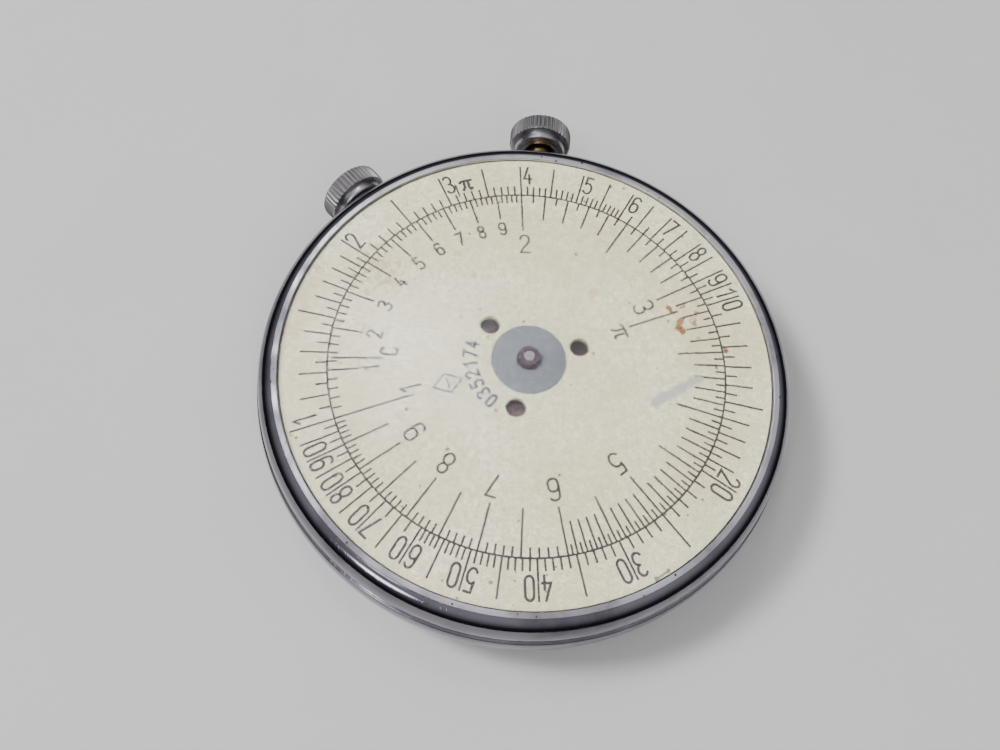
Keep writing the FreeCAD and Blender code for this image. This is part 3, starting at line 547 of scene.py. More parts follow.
RUST = (0.22, 0.085, 0.014)
SMEAR = Mark((12.3, 218.8), (15.9, 205.5), 0.6, (0.36, 0.34, 0.34), 0.85, 0.5)
RUBBED = Mark((11.9, 217.2), (13.0, 217.2), 1.0, (0.0, 0.0, 0.0), 1.0, 0.2)
STAINS = (
    Mark((16.6, 192.0), (15.6, 172.0), 3.4, (0.62, 0.5, 0.28), 0.4, 2.4),
    Mark((19.5, 236.0), (18.5, 222.0), 3.0, (0.6, 0.5, 0.3), 0.3, 2.4),
    Mark((15.3, 187.2), (14.9, 185.6), 0.34, RUST, 1.0, 2.2),
    Mark((15.1, 185.2), (15.0, 184.9), 0.2, (0.07, 0.035, 0.015), 0.9, 1.4),
    Mark((15.0, 183.9), (15.5, 182.6), 0.3, RUST, 0.9, 2.6),
    Mark((14.2, 181.6), (14.2, 181.4), 0.12, RUST, 0.9, 1.4),
    Mark((16.6, 184.6), (17.2, 181.6), 0.3, RUST, 0.8, 3.0),
    Mark((15.0, 179.0), (14.7, 176.8), 0.24, RUST, 1.0, 2.4),
    Mark((15.9, 178.2), (16.4, 178.0), 0.16, RUST, 0.8, 2.2),
    Mark((18.8, 195.5), (18.8, 195.2), 0.3, RUST, 1.0, 1.6),
    Mark((17.2, 53.5), (17.0, 50.5), 1.6, (0.42, 0.26, 0.13), 0.5, 2.8),
    Mark((17.7, 201.1), (17.7, 201.0), 0.2, (0.03, 0.03, 0.05), 0.9, 0.6),
    Mark((6.9, 68.6), (6.95, 68.4), 0.16, (0.05, 0.03, 0.02), 0.8, 0.8),
    Mark((21.9, 44.0), (22.4, 20.0), 0.9, (0.55, 0.42, 0.2), 0.35, 2.4),
    Mark((22.6, 258.8), (22.7, 262.0), 0.2, (0.05, 0.035, 0.03), 0.8, 2.2),
    Mark((22.6, 359.7), (22.5, 358.9), 0.2, (0.05, 0.035, 0.03), 0.8, 2.0),
)


@dataclass(frozen=True)
class Enamel:
    """The aged cream enamel of a dial."""

    name: str
    color: Color
    marks: tuple[Mark, ...] = ()

    def make(self, effects: Effects) -> bpy.types.Material:
        """Builds the material: mottled cream with foxing, brown specks and the placed marks."""
        material, net, shader, at = new_material(self.name)
        grain = net.group(effects.grain, {"Vector": at, "Scale": 2400.0})
        pores = net.group(effects.grain, {"Vector": at, "Scale": 6500.0})
        blots = net.group(effects.grain, {"Vector": at, "Scale": 1250.0})
        patches = net.group(effects.grain, {"Vector": at, "Scale": 900.0})
        cracks = net.group(effects.hairlines, {"Vector": at, "Scale": 420.0})
        foxing = net.group(effects.specks, {"Vector": at, "Scale": 520.0, "Share": 0.06})
        dots = net.group(effects.specks, {"Vector": at, "Scale": 1500.0, "Share": 0.05})
        warm = tuple(c * k for c, k in zip(self.color, (0.88, 0.84, 0.72)))
        pale = shade(self.color, 1.1)
        color = net.blend(patches.outputs["Broad"], pale, warm)
        color = net.blend(net.math("MULTIPLY", grain.outputs["Fine"], 0.75), color, shade(warm, 0.68))
        sunk = net.math("MULTIPLY", net.ramp(pores.outputs["Fine"], 0.45, 0.95), 0.7)
        color = net.blend(sunk, color, shade(warm, 0.5))
        color = net.blend(net.math("MULTIPLY", blots.outputs["Fine"], 0.6), color, shade(warm, 0.7))
        color = net.blend(net.math("MULTIPLY", cracks.outputs["Mask"], 0.1), color, shade(warm, 0.45))
        rare = net.math("MULTIPLY", foxing.outputs["Mask"], net.math("MULTIPLY", grain.outputs["Fine"], 0.55))
        color = net.blend(rare, color, (0.42, 0.26, 0.1))
        color = net.blend(net.math("MULTIPLY", dots.outputs["Mask"], 0.75), color, (0.1, 0.06, 0.035))
        for mark in self.marks:
            color = net.blend(mark.mask(net, effects, at), color, mark.color)
        net.tree.links.new(color, shader.inputs["Base Color"])
        rough = net.math("MULTIPLY_ADD", grain.outputs["Fine"], 0.2, 0.38)
        net.tree.links.new(rough, shader.inputs["Roughness"])
        set_bump(net, shader, grain.outputs["Fine"], 0.02)
        return material


@dataclass(frozen=True)
class Ink:
    """Printed ink, thinned and broken where it has worn."""

    name: str
    color: Color
    wear: float
    covered_by: tuple[Mark, ...] = ()

    def make(self, effects: Effects) -> bpy.types.Material:
        """Builds the material."""
        material, net, shader, at = new_material(self.name)
        grain = net.group(effects.grain, {"Vector": at, "Scale": 5200.0})
        worn = net.ramp(grain.outputs["Fine"], 1.0 - self.wear, 1.3)
        left = net.math("SUBTRACT", 0.93, net.math("MULTIPLY", worn, 0.9))
        thin = net.math("MULTIPLY", grain.outputs["Broad"], 0.5)
        color = net.blend(thin, self.color, shade(self.color, 2.2))
        for mark in self.covered_by:
            cover = mark.mask(net, effects, at)
            left = net.math("MULTIPLY", left, net.math("SUBTRACT", 1.0, cover))
        net.tree.links.new(color, shader.inputs["Base Color"])
        net.tree.links.new(left, shader.inputs["Alpha"])
        shader.inputs["Roughness"].default_value = 0.55
        return material


@dataclass(frozen=True)
class Paint:
    """A smooth painted, enamelled or plastic surface."""

    name: str
    color: Color
    roughness: float
    variation: float = 0.15

    def make(self, effects: Effects) -> bpy.types.Material:
        """Builds the material."""
        material, net, shader, at = new_material(self.name)
        grain = net.group(effects.grain, {"Vector": at, "Scale": 1800.0})
        darker = shade(self.color, 1 - self.variation)
        broad = net.math("MULTIPLY", grain.outputs["Broad"], 0.5)
        mixed = net.math("MULTIPLY_ADD", grain.outputs["Fine"], 0.5, broad)
        net.tree.links.new(net.blend(mixed, self.color, darker), shader.inputs["Base Color"])
        rough = net.math("MULTIPLY_ADD", grain.outputs["Fine"], 0.12, self.roughness)
        net.tree.links.new(rough, shader.inputs["Roughness"])
        set_bump(net, shader, grain.outputs["Fine"], 0.003)
        return material


@dataclass(frozen=True)
class Acrylic:
    """A clear crystal with a slight haze of fine wear, which lets light through to what is under it."""

    name: str
    haze: float

    def make(self, effects: Effects) -> bpy.types.Material:
        """Builds the material."""
        material, net, shader, at = new_material(self.name)
        grain = net.group(effects.grain, {"Vector": at, "Scale": 1700.0})
        lines = net.group(effects.hairlines, {"Vector": at, "Scale": 260.0})
        shader.inputs["Base Color"].default_value = (0.985, 0.985, 0.975, 1)
        shader.inputs["Transmission Weight"].default_value = 1.0
        shader.inputs["IOR"].default_value = 1.49
        rough = net.math("MULTIPLY_ADD", lines.outputs["Mask"], 0.1, 0.012)
        net.tree.links.new(rough, shader.inputs["Roughness"])
        worn = net.node("BsdfGlossy", {"Color": (0.9, 0.9, 0.9, 1)})
        dulled = net.math("MULTIPLY_ADD", grain.outputs["Fine"], 0.2, 0.3)
        net.tree.links.new(dulled, worn.inputs["Roughness"])
        set_bump(net, shader, grain.outputs["Fine"], 0.01)
        share = net.math("ADD", lines.outputs["Mask"], grain.outputs["Fine"])
        share = net.math("MULTIPLY_ADD", share, self.haze, self.haze * 0.4)
        hazed = net.node("MixShader", {0: share, 1: shader.outputs[0], 2: worn.outputs[0]})
        through = net.node("BsdfTransparent", {"Color": (0.93, 0.93, 0.92, 1)})
        shadow = net.node("LightPath").outputs["Is Shadow Ray"]
        both = net.node("MixShader", {0: shadow, 1: hazed.outputs[0], 2: through.outputs[0]})
        end = next(n for n in net.tree.nodes if n.type == "OUTPUT_MATERIAL")
        net.tree.links.new(both.outputs[0], end.inputs["Surface"])
        return material


class Finish(Enum):
    """Every finish on the slide rule, named after its slot in the record where it has one."""

    # The case chrome is coloured darker and more purple than bare chrome. That is painted reflection of a
    # dark room and a red cloth. Its dull patches and specks are real wear.
    CASE_CHROME = Metal(
        "case_chrome", (0.23, 0.215, 0.25), (0.13, 0.12, 0.145),
        roughness=0.06, dulling=0.12, cover=0.3, specks=0.02, scratch=0.0015,
    )
    LIP_SATIN = Metal(
        "lip_satin", (0.72, 0.71, 0.75), (0.36, 0.35, 0.39),
        roughness=0.28, dulling=0.22, cover=0.45, specks=0.05, scratch=0.006,
    )
    CROWN_NICKEL = Metal(
        "crown_nickel", (0.5, 0.48, 0.49), (0.22, 0.2, 0.21),
        roughness=0.3, dulling=0.25, cover=0.5, specks=0.03, scratch=0.005,
    )
    TUBE_BRASS = Metal(
        "tube_brass", (0.62, 0.44, 0.16), (0.3, 0.19, 0.07),
        roughness=0.25, dulling=0.25, cover=0.45,
    )
    WORKS_BRASS = Metal(
        "works_brass", (0.2, 0.11, 0.13), (0.09, 0.05, 0.06),
        roughness=0.45, dulling=0.2, cover=0.6,
    )
    WORKS_STEEL = Metal(
        "works_steel", (0.42, 0.42, 0.43), (0.2, 0.19, 0.19),
        roughness=0.3, dulling=0.2, cover=0.4,
    )
    SEAT_COPPER = Metal(
        "seat_copper", (0.14, 0.075, 0.13), (0.08, 0.04, 0.075),
        roughness=0.6, dulling=0.2, cover=0.5, specks=0.02,
    )
    DIAL_ENAMEL = Enamel("dial_enamel", (0.93, 0.9, 0.69), (*STAINS, SMEAR))
    BACK_ENAMEL = Enamel("back_dial_enamel", (0.93, 0.9, 0.69))
    DIAL_INK = Ink("dial_ink", (0.018, 0.013, 0.016), 0.22, (SMEAR, RUBBED))
    BACK_INK = Ink("back_dial_ink", (0.018, 0.013, 0.016), 0.22)
    MARK_INK = Ink("mark_ink", (0.035, 0.04, 0.1), 0.3)
    HUB_GRAY = Paint("hub_gray", (0.15, 0.165, 0.2), 0.5, 0.35)
    DOT_BLACK = Paint("dot_black", (0.012, 0.012, 0.014), 0.18)
    DOT_RED = Paint("dot_red", (0.45, 0.02, 0.015), 0.18)
    CRYSTAL = Acrylic("crystal", 0.011)


class Palette:
    """Makes each finish's material the first time it is asked for."""

    def __init__(self) -> None:
        self.effects = Effects.make()
        self.made: dict[Finish, bpy.types.Material] = {}

    def __getitem__(self, finish: Finish) -> bpy.types.Material:
        if finish not in self.made:
            self.made[finish] = finish.value.make(self.effects)
        return self.made[finish]


# ---------------------------------------------------------------- print

GLYPH_WIDTH = 0.45
HALF = GLYPH_WIDTH / 2


def _upper_bowl(start: float, end: float) -> list[Point]:
    return arc((HALF, 1 - HALF), HALF, start, end)


def _lower_bowl(start: float, end: float) -> list[Point]:
    return arc((HALF, HALF), HALF, start, end)


def _six() -> list[Point]:
    return [*_upper_bowl(28, 180), *_lower_bowl(180, 360), *arc((HALF, 0.37), HALF, 0, 172)]


GLYPHS: dict[str, list[list[Point]]] = {
    "0": [[*_upper_bowl(0, 180), *_lower_bowl(180, 360), (GLYPH_WIDTH, 1 - HALF)]],
    "1": [[(0.08, 0.78), (0.3, 1.0), (0.3, 0.0)]],
    "2": [[*ellipse((HALF, 0.75), (HALF, 0.25), 172, -32, 14), (0.0, 0.0), (GLYPH_WIDTH, 0.0)]],
    "3": [
        [
            *ellipse((0.2, 0.76), (0.23, 0.24), 145, -84, 14),
            *ellipse((0.2, 0.26), (0.25, 0.26), 84, -150, 14),
        ]
    ],
    "4": [[(0.27, 1.0), (0.0, 0.3), (GLYPH_WIDTH, 0.3)], [(0.33, 0.56), (0.33, 0.0)]],
    "5": [[(0.42, 1.0), (0.08, 1.0), (0.04, 0.58), *ellipse((0.2, 0.32), (0.25, 0.32), 128, -145, 16)]],
    "6": [_six()],
    "7": [[(0.0, 1.0), (GLYPH_WIDTH, 1.0), (0.12, 0.0)]],
    "8": [
        ellipse((HALF, 0.77), (HALF * 0.88, 0.23), -90, 270, 24),
        ellipse((HALF, 0.27), (HALF, 0.27), -90, 270, 24),
    ],
    "9": [[(GLYPH_WIDTH - x, 1 - y) for x, y in _six()]],
    "C": [[*_upper_bowl(15, 180), *_lower_bowl(180, 345)]],
    "p": [
        [(0.0, 0.82), (0.14, 0.95), (1.05, 0.95)],
        [(0.38, 0.95), (0.34, 0.3), (0.16, 0.0)],
        [(0.74, 0.95), (0.72, 0.14), (0.84, 0.0), (0.96, 0.1)],
    ],
    "S": [
        [
            *ellipse((HALF, 0.76), (HALF, 0.24), 25, 250, 14),
            *ellipse((HALF, 0.26), (HALF, 0.26), 75, -155, 14),
        ]
    ],
    "T": [[(0.0, 1.0), (GLYPH_WIDTH, 1.0)], [(HALF, 1.0), (HALF, 0.0)]],
    "x": [[(0.0, 0.0), (GLYPH_WIDTH, 0.62)], [(0.0, 0.62), (GLYPH_WIDTH, 0.0)]],
}


@dataclass
class Printing:
    """Ink laid on one face of a dial. Radii here are shares of the main circle's radius.

    Attributes:
        side: The face it is on.
        height: The height of the ink, in millimetres.
        first_line: The angle of the 1 line, anticlockwise from +X seen from the front.
        ink: The mesh that it is laid in.
    """

    side: Side
    height: float
    first_line: float
    ink: MeshMaker = field(default_factory=MeshMaker)

    def axes(self, turn: float) -> tuple[np.ndarray, np.ndarray]:
        """The outward and the clockwise directions at so many degrees clockwise from the 1 line."""
        angle = math.radians(self.first_line - self.side.value * turn)
        outward = np.array([math.cos(angle), math.sin(angle)])
        return outward, self.side.value * np.array([math.sin(angle), -math.cos(angle)])

    def place(self, turn: float, radius: float, across: float, up: float) -> tuple[float, float, float]:
        """A point given across and up from a place on the dial, as shares of the main circle's radius."""
        outward, clockwise = self.axes(turn)
        x, y = UNIT * (outward * (radius + up) + clockwise * across)
        return (x, y, self.height)

    def _polygon(self, points: Sequence[tuple[float, float, float]], faces: Iterable[Sequence[int]]) -> None:
        if self.side is Side.FRONT:
            faces = [list(reversed(face)) for face in faces]
        self.ink.add(points, faces)

    def stroke(
        self, turn: float, radius: float, line: Sequence[Point], width: float, closed: bool = False
    ) -> None:
        """Draws a line of even width, with round ends, through points across and up from a place."""
        points = np.array(line, float)
        ahead = np.roll(points, -1, 0) - points
        behind = points - np.roll(points, 1, 0)
        if not closed:
            ahead[-1], behind[0] = behind[-1], ahead[0]
        ahead /= np.linalg.norm(ahead, axis=1)[:, None]
        behind /= np.linalg.norm(behind, axis=1)[:, None]
        middle = ahead + behind
        middle /= np.linalg.norm(middle, axis=1)[:, None]
        spread = np.clip(np.sum(middle * ahead, axis=1), 0.5, 1.0)
        side = np.stack([-middle[:, 1], middle[:, 0]], 1) * (width / 2 / spread)[:, None]
        left, right = points + side, points - side
        outline = [self.place(turn, radius, *p) for p in (*left, *right)]
        count = len(points)
        pairs = range(count if closed else count - 1)
        self._polygon(outline, [[k, (k + 1) % count, count + (k + 1) % count, count + k] for k in pairs])
        if closed:
            return
        for end, facing in ((points[0], -ahead[0]), (points[-1], behind[-1])):
            base = math.degrees(math.atan2(facing[1], facing[0]))
            cap = arc((end[0], end[1]), width / 2, base - 90, base + 90, 6)
            self._polygon([self.place(turn, radius, *p) for p in reversed(cap)], [list(range(7))])

    def ray(self, turn: float, start: float, end: float, width: float = 0.0105) -> None:
        """Draws a line along a radius."""
        half = width / 2
        corners = [(-half, start), (-half, end), (half, end), (half, start)]
        self._polygon([self.place(turn, 0, *p) for p in corners], [[0, 1, 2, 3]])

    def circle(self, radius: float, width: float = 0.0105, steps: int = 360) -> None:
        """Draws a whole circle about the middle."""
        turns = [360 * k / steps for k in range(steps)]
        points = [self.place(t, r, 0, 0) for r in (radius + width / 2, radius - width / 2) for t in turns]
        pairs = [(k, (k + 1) % steps) for k in range(steps)]
        self._polygon(points, [[a, b, steps + b, steps + a] for a, b in pairs])

    def text(
        self, turn: float, radius: float, words: str, height: float, across: float = 0.0,
        width: float = 0.0122, gap: float = 0.2, squeeze: float = 1.0,
    ) -> None:
        """Writes words upright across a radius.

        Args:
            turn: Degrees clockwise from the 1 line.
            radius: The distance of their feet from the middle.
            words: The characters.
            height: How tall they are.
            across: How far clockwise of the radius their middle is.
            width: The width of the strokes.
            gap: The space between characters, as a share of their height.
            squeeze: How wide the characters are drawn, as a share of their usual width.
        """
        step = (GLYPH_WIDTH * squeeze + gap) * height
        start = across - (step * len(words) - gap * height) / 2
        for index, character in enumerate(words):
            for line in GLYPHS[character]:
                drawn = [(start + index * step + x * squeeze * height, y * height) for x, y in line]
                closed = math.dist(drawn[0], drawn[-1]) < 1e-9
                self.stroke(turn, radius, drawn[:-1] if closed else drawn, width, closed)


@dataclass(frozen=True)
class TickRun:
    """Evenly stepped lines over part of a scale.

    Attributes:
        start: The value it starts at.
        stop: The value it stops before.
        step: The step between its lines.
        ends: For every so many lines, the radius they reach; the largest count that fits a line wins.
    """

    start: float
    stop: float
    step: float
    ends: tuple[tuple[int, float], ...]


@dataclass(frozen=True)
class Scale:
    """A circular scale.

    Attributes:
        turn_of: The degrees clockwise of a value.
        base: The radius its lines start at.
        runs: Its lines.
    """

    turn_of: Callable[[float], float]
    base: float
    runs: tuple[TickRun, ...]

    def draw(self, printing: Printing) -> None:
        """Draws every line except the one at the scale's start."""
        for run in self.runs:
            for k in range(round((run.stop - run.start) / run.step)):
                turn = self.turn_of(run.start + k * run.step)
                reach = max(end for end in run.ends if k % end[0] == 0)[1]
                if turn > 1e-6:
                    printing.ray(turn, self.base, reach)


def single_turn(value: float) -> float:
    """Degrees clockwise on a scale that goes round once from 1 to 10."""
    return 360 * math.log10(value)


def double_turn(value: float) -> float:
    """Degrees clockwise on a scale of squares, which goes round once from 1 to 100."""
    return 180 * math.log10(value)


def sine_turn(value: float) -> float:
    """Degrees clockwise on a scale of sines."""
    return 360 * math.log10(10 * math.sin(math.radians(value)))


def tangent_turn(value: float) -> float:
    """Degrees clockwise on a scale of tangents."""
    return 360 * math.log10(10 * math.tan(math.radians(value)))


class FrontPrint:
    """The movable dial's print: a counting scale inside the circle and a scale of squares outside it."""

    COUNTING = Scale(
        single_turn,
        1.0,
        (
            TickRun(1, 2, 0.02, ((1, 0.95), (5, 0.845))),
            TickRun(2, 6, 0.05, ((1, 0.95), (2, 0.843), (10, 0.767))),
            TickRun(6, 10, 0.1, ((1, 0.95), (5, 0.767))),
        ),
    )
    SQUARES = Scale(
        double_turn,
        1.0,
        (
            TickRun(1, 2, 0.05, ((1, 1.06), (2, 1.14), (10, 1.195))),
            TickRun(2, 6, 0.1, ((1, 1.06), (5, 1.195))),
            TickRun(6, 10, 0.25, ((1, 1.06), (2, 1.195))),
            TickRun(10, 20, 0.5, ((1, 1.06), (2, 1.14), (10, 1.195))),
            TickRun(20, 60, 1, ((1, 1.06), (5, 1.195))),
            TickRun(60, 100, 2.5, ((1, 1.06), (2, 1.195))),
        ),
    )

    def __init__(self) -> None:
        self.lines = Printing(Side.FRONT, DIAL_FACE + 0.012, FIRST_LINE)
        self.mark = Printing(Side.FRONT, DIAL_FACE + 0.012, FIRST_LINE)

    def draw(self) -> None:
        """Lays all the ink of the front dial."""
        lines = self.lines
        lines.circle(1.0)
        self.COUNTING.draw(lines)
        self.SQUARES.draw(lines)
        lines.ray(0, 0.602, 1.22)
        self._counting_figures()
        self._square_figures()
        self._gauge_marks()
        self._serial()

    def _counting_figures(self) -> None:
        for tenth in range(1, 10):
            self.lines.text(single_turn(1 + tenth / 10), 0.748, str(tenth), 0.074)
        for value in range(2, 10):
            self.lines.text(single_turn(value) + 0.5, 0.629, str(value), 0.108)
        self.lines.text(3.4, 0.556, "1", 0.1)

    def _square_figures(self) -> None:
        style = {"radius": 1.079, "height": 0.11, "width": 0.0132, "squeeze": 0.8}
        for value in range(1, 10):
            self.lines.text(double_turn(value), words=str(value), across=0.039, **style)
            self.lines.text(double_turn(10 * value), words=str(value), across=-0.037, **style)
            self.lines.text(double_turn(10 * value), words="0", across=0.041, **style)

    def _gauge_marks(self) -> None:
        self.lines.ray(single_turn(1.128), 0.98, 0.723)
        self.lines.text(22.0, 0.655, "C", 0.084)
        self.lines.ray(single_turn(math.pi), 0.84, 0.557)
        self.lines.text(single_turn(math.pi), 0.462, "p", 0.07, -0.01)
        self.lines.ray(double_turn(math.pi), 1.041, 1.123)
        self.lines.text(92.3, 1.075, "p", 0.062, -0.014, 0.016)

    def _serial(self) -> None:
        diamond = [(0.0, 0.075), (0.052, 0.0), (0.0, -0.075), (-0.052, 0.0)]
        self.mark.stroke(0.5, 0.425, diamond, 0.009, True)
        self.mark.stroke(0.5, 0.425, [(-0.026, 0.0), (0.026, 0.0)], 0.009)
        for index, figure in enumerate("0352174"):
            self.mark.text(-31.0 + 11 * index, 0.262, figure, 0.066, 0, 0.014)


class BackPrint:
    """The fixed dial's print: a counting scale, and scales of sines and tangents inside it."""

    COUNTING = Scale(
        single_turn,
        1.0,
        (
            TickRun(1, 2, 0.02, ((1, 1.05), (5, 1.1))),
            TickRun(2, 6, 0.05, ((1, 1.05), (2, 1.1), (10, 1.15))),
            TickRun(6, 10, 0.1, ((1, 1.05), (5, 1.15))),
        ),
    )
    SINES = Scale(
        sine_turn,
        0.82,
        (
            TickRun(6, 20, 0.5, ((1, 0.78), (2, 0.75))),
            TickRun(20, 40, 1, ((1, 0.78), (5, 0.75))),
            TickRun(40, 80, 5, ((1, 0.78), (2, 0.75))),
        ),
    )
    TANGENTS = Scale(
        tangent_turn,
        0.53,
        (TickRun(6, 20, 0.5, ((1, 0.49), (2, 0.465))), TickRun(20, 45, 1, ((1, 0.49), (5, 0.465)))),
    )

    def __init__(self) -> None:
        self.lines = Printing(Side.BACK, BACK_DIAL_FACE - 0.012, 90.0)

    def draw(self) -> None:
        """Lays all the ink of the back dial."""
        lines = self.lines
        for scale in (self.COUNTING, self.SINES, self.TANGENTS):
            lines.circle(scale.base)
            scale.draw(lines)
        lines.ray(0, 0.42, 1.2)
        for value in range(1, 10):
            lines.text(single_turn(value), 1.115, str(value), 0.08, 0.035)
        for value in (6, 7, 8, 9, 10, 12, 15, 20, 25, 30, 40, 50, 60):
            lines.text(sine_turn(value), 0.66, str(value), 0.06, 0.0, 0.01)
        for value in (6, 7, 8, 9, 10, 12, 15, 20, 25, 30, 35, 40):
            lines.text(tangent_turn(value), 0.38, str(value), 0.055, 0.0, 0.01)
        lines.text(-6.0, 0.66, "S", 0.06)
        lines.text(-9.0, 0.38, "T", 0.055)


# ---------------------------------------------------------------- pieces


def settle(obj: bpy.types.Object, body: str, slot: str, *nodes: str) -> bpy.types.Object:
    """Hands a finished piece to the frame: attaches it to what it moves with and hides the nodes that it
    stands for. The slot is not used.
    """
    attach(obj, body)
    if nodes:
        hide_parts(*nodes)
    LOG.info("%s rides on %s", obj.name, body)
    return obj


@dataclass(frozen=True)
class RoundedSide:
    """The outline of a rounded side: a wide arc that runs smoothly into a tighter shoulder.

    Attributes:
        radius: The radius at its widest.
        waist: How far from the middle plane that is.
        side: The radius of the wide arc.
        shoulder: The radius of the shoulder's arc.
        face: The distance of the flat face from the middle plane.
    """

    radius: float
    waist: float
    side: float
    shoulder: float
    face: float = 4.2

    def outline(self, start: float, end: float = 90.0) -> list[Point]:
        """The outline between two slopes in degrees, as (radius, distance from the middle plane) points."""
        rise = self.face - self.shoulder - self.waist
        run = math.sqrt((self.side - self.shoulder) ** 2 - rise**2)
        join = math.degrees(math.atan2(rise, run))
        middle = self.radius - self.side
        wide = arc((middle, self.waist), self.side, start, join, 20)
        return [*wide, *arc((middle + run, self.face - self.shoulder), self.shoulder, join, end, 20)[1:]]


@dataclass(frozen=True)
class Case:
    """The chromed case: a front bezel over the case ring, and a back bezel."""

    palette: Palette
    bezel: RoundedSide = RoundedSide(25.05, 2.0, 3.5, 1.5)
    body: RoundedSide = RoundedSide(25.44, 0.0, 6.0, 1.2)
    thread: float = 24.0

    def front(self) -> bpy.types.Object:
        """The rounded front bezel, with its narrow satin lip."""
        rolled = [(24.93, 1.5), (24.99, 1.53), (25.01, 1.6), *self.bezel.outline(0)]
        lip = [(23.06, 4.2), *arc((23.06, 4.14), 0.06, 90, 180, 4)[1:]]
        groove = [(23.0, 4.0), (23.3, 4.0), (23.3, 3.82), (23.0, 3.82)]
        inside = [*groove, (23.0, 2.65), (24.25, 2.65), (24.25, 1.5)]
        profile = [(r, MID + h) for r, h in (*rolled, *lip, *inside)]
        polished = len(rolled) - 2
        maker = MeshMaker()
        maker.lathe(profile, zones=[0] * polished + [1] * (len(profile) - polished))
        obj = maker.build("bezel_front", self._metals(), 40)
        return settle(obj, "case", "case_chrome", "front_bezel")

    def ring(self) -> bpy.types.Object:
        """The case ring: the body of the case, and the wall that the bezel snaps over."""
        top = -math.degrees(math.asin(1.3 / self.body.side))
        outside = [(r, MID - h) for r, h in self.body.outline(top, self._thread_slope())]
        edge = [(25.15, MID + 1.45), (25.22, MID + 1.43), (25.27, MID + 1.38)]
        ledge = [(r, MID - h) for r, h in ((24.0, 3.3), (22.95, 3.3), (22.95, 2.9), (23.9, 2.9))]
        wall = [(23.9, MID + 2.6), (24.25, MID + 2.6), (24.25, MID + 1.45)]
        maker = MeshMaker()
        maker.lathe([*reversed(wall), *reversed(ledge), *reversed(outside), *reversed(edge)])
        obj = maker.build("case_ring_shell", self._metals(), 40)
        return settle(obj, "case", "case_chrome", "case_ring")

    def back(self) -> bpy.types.Object:
        """The screwed back bezel."""
        rounded = [p for p in self.body.outline(0) if p[0] < self.thread]
        inside = [(23.0, 4.2), (23.0, 4.0), (23.3, 4.0), (23.3, 3.82), (23.0, 3.82), (23.0, 3.3), (24.0, 3.3)]
        start = (self.thread, self._thread_height())
        profile = [(r, MID - h) for r, h in (start, *rounded, *inside)]
        maker = MeshMaker()
        maker.lathe(list(reversed(profile)), zones=[1] * len(profile))
        obj = maker.build("bezel_back", self._metals(), 40)
        return settle(obj, "case", "case_chrome", "back_bezel")

    def _face_start(self) -> float:
        return self.body.outline(0)[-1][0]

    def _thread_slope(self) -> float:
        return math.degrees(math.acos((self.thread - self._face_start()) / self.body.shoulder))

    def _thread_height(self) -> float:
        drop = math.sqrt(self.body.shoulder**2 - (self.thread - self._face_start()) ** 2)
        return self.body.face - self.body.shoulder + drop

    def _metals(self) -> list[bpy.types.Material]:
        return [self.palette[Finish.CASE_CHROME], self.palette[Finish.LIP_SATIN]]


@dataclass(frozen=True)
class Crystals:
    """The two clear crystals."""

    palette: Palette

    def front(self) -> bpy.types.Object:
        """The low domed front crystal."""
        outer = self._dome(22.95, 4.15, 5.7)
        inner = self._dome(22.5, 3.84, 4.95)
        profile = [*outer, (22.95, 3.98), (23.28, 3.98), (23.28, 3.84), *reversed(inner)]
        return self._make("crystal_front", [(r, MID + h) for r, h in profile], "front_crystal")

    def back(self) -> bpy.types.Object:
        """The flat back crystal, with its sloping edge."""
        profile = [
            (0, -5.2), (21.7, -5.2), (21.8, -5.18), (22.9, -4.15), (22.95, -3.98),
            (23.28, -3.98), (23.28, -3.84), (21.6, -3.84), (21.6, -4.5), (0, -4.5),
        ]
        return self._make("crystal_back", [(r, MID + h) for r, h in reversed(profile)], "back_crystal")

    @staticmethod
    def _dome(radius: float, base: float, top: float, steps: int = 24) -> list[Point]:
        rise = top - base
        sphere = (radius**2 + rise**2) / (2 * rise)
        end = math.degrees(math.asin(radius / sphere))
        return [(x, y) for x, y in arc((0, top - sphere), sphere, 90, 90 - end, steps)]

    def _make(self, name: str, profile: list[Point], node: str) -> bpy.types.Object:
        maker = MeshMaker()
        maker.lathe(list(reversed(profile)))
        obj = maker.build(name, [self.palette[Finish.CRYSTAL]], 30)
        return settle(obj, "case", "crystal", node)


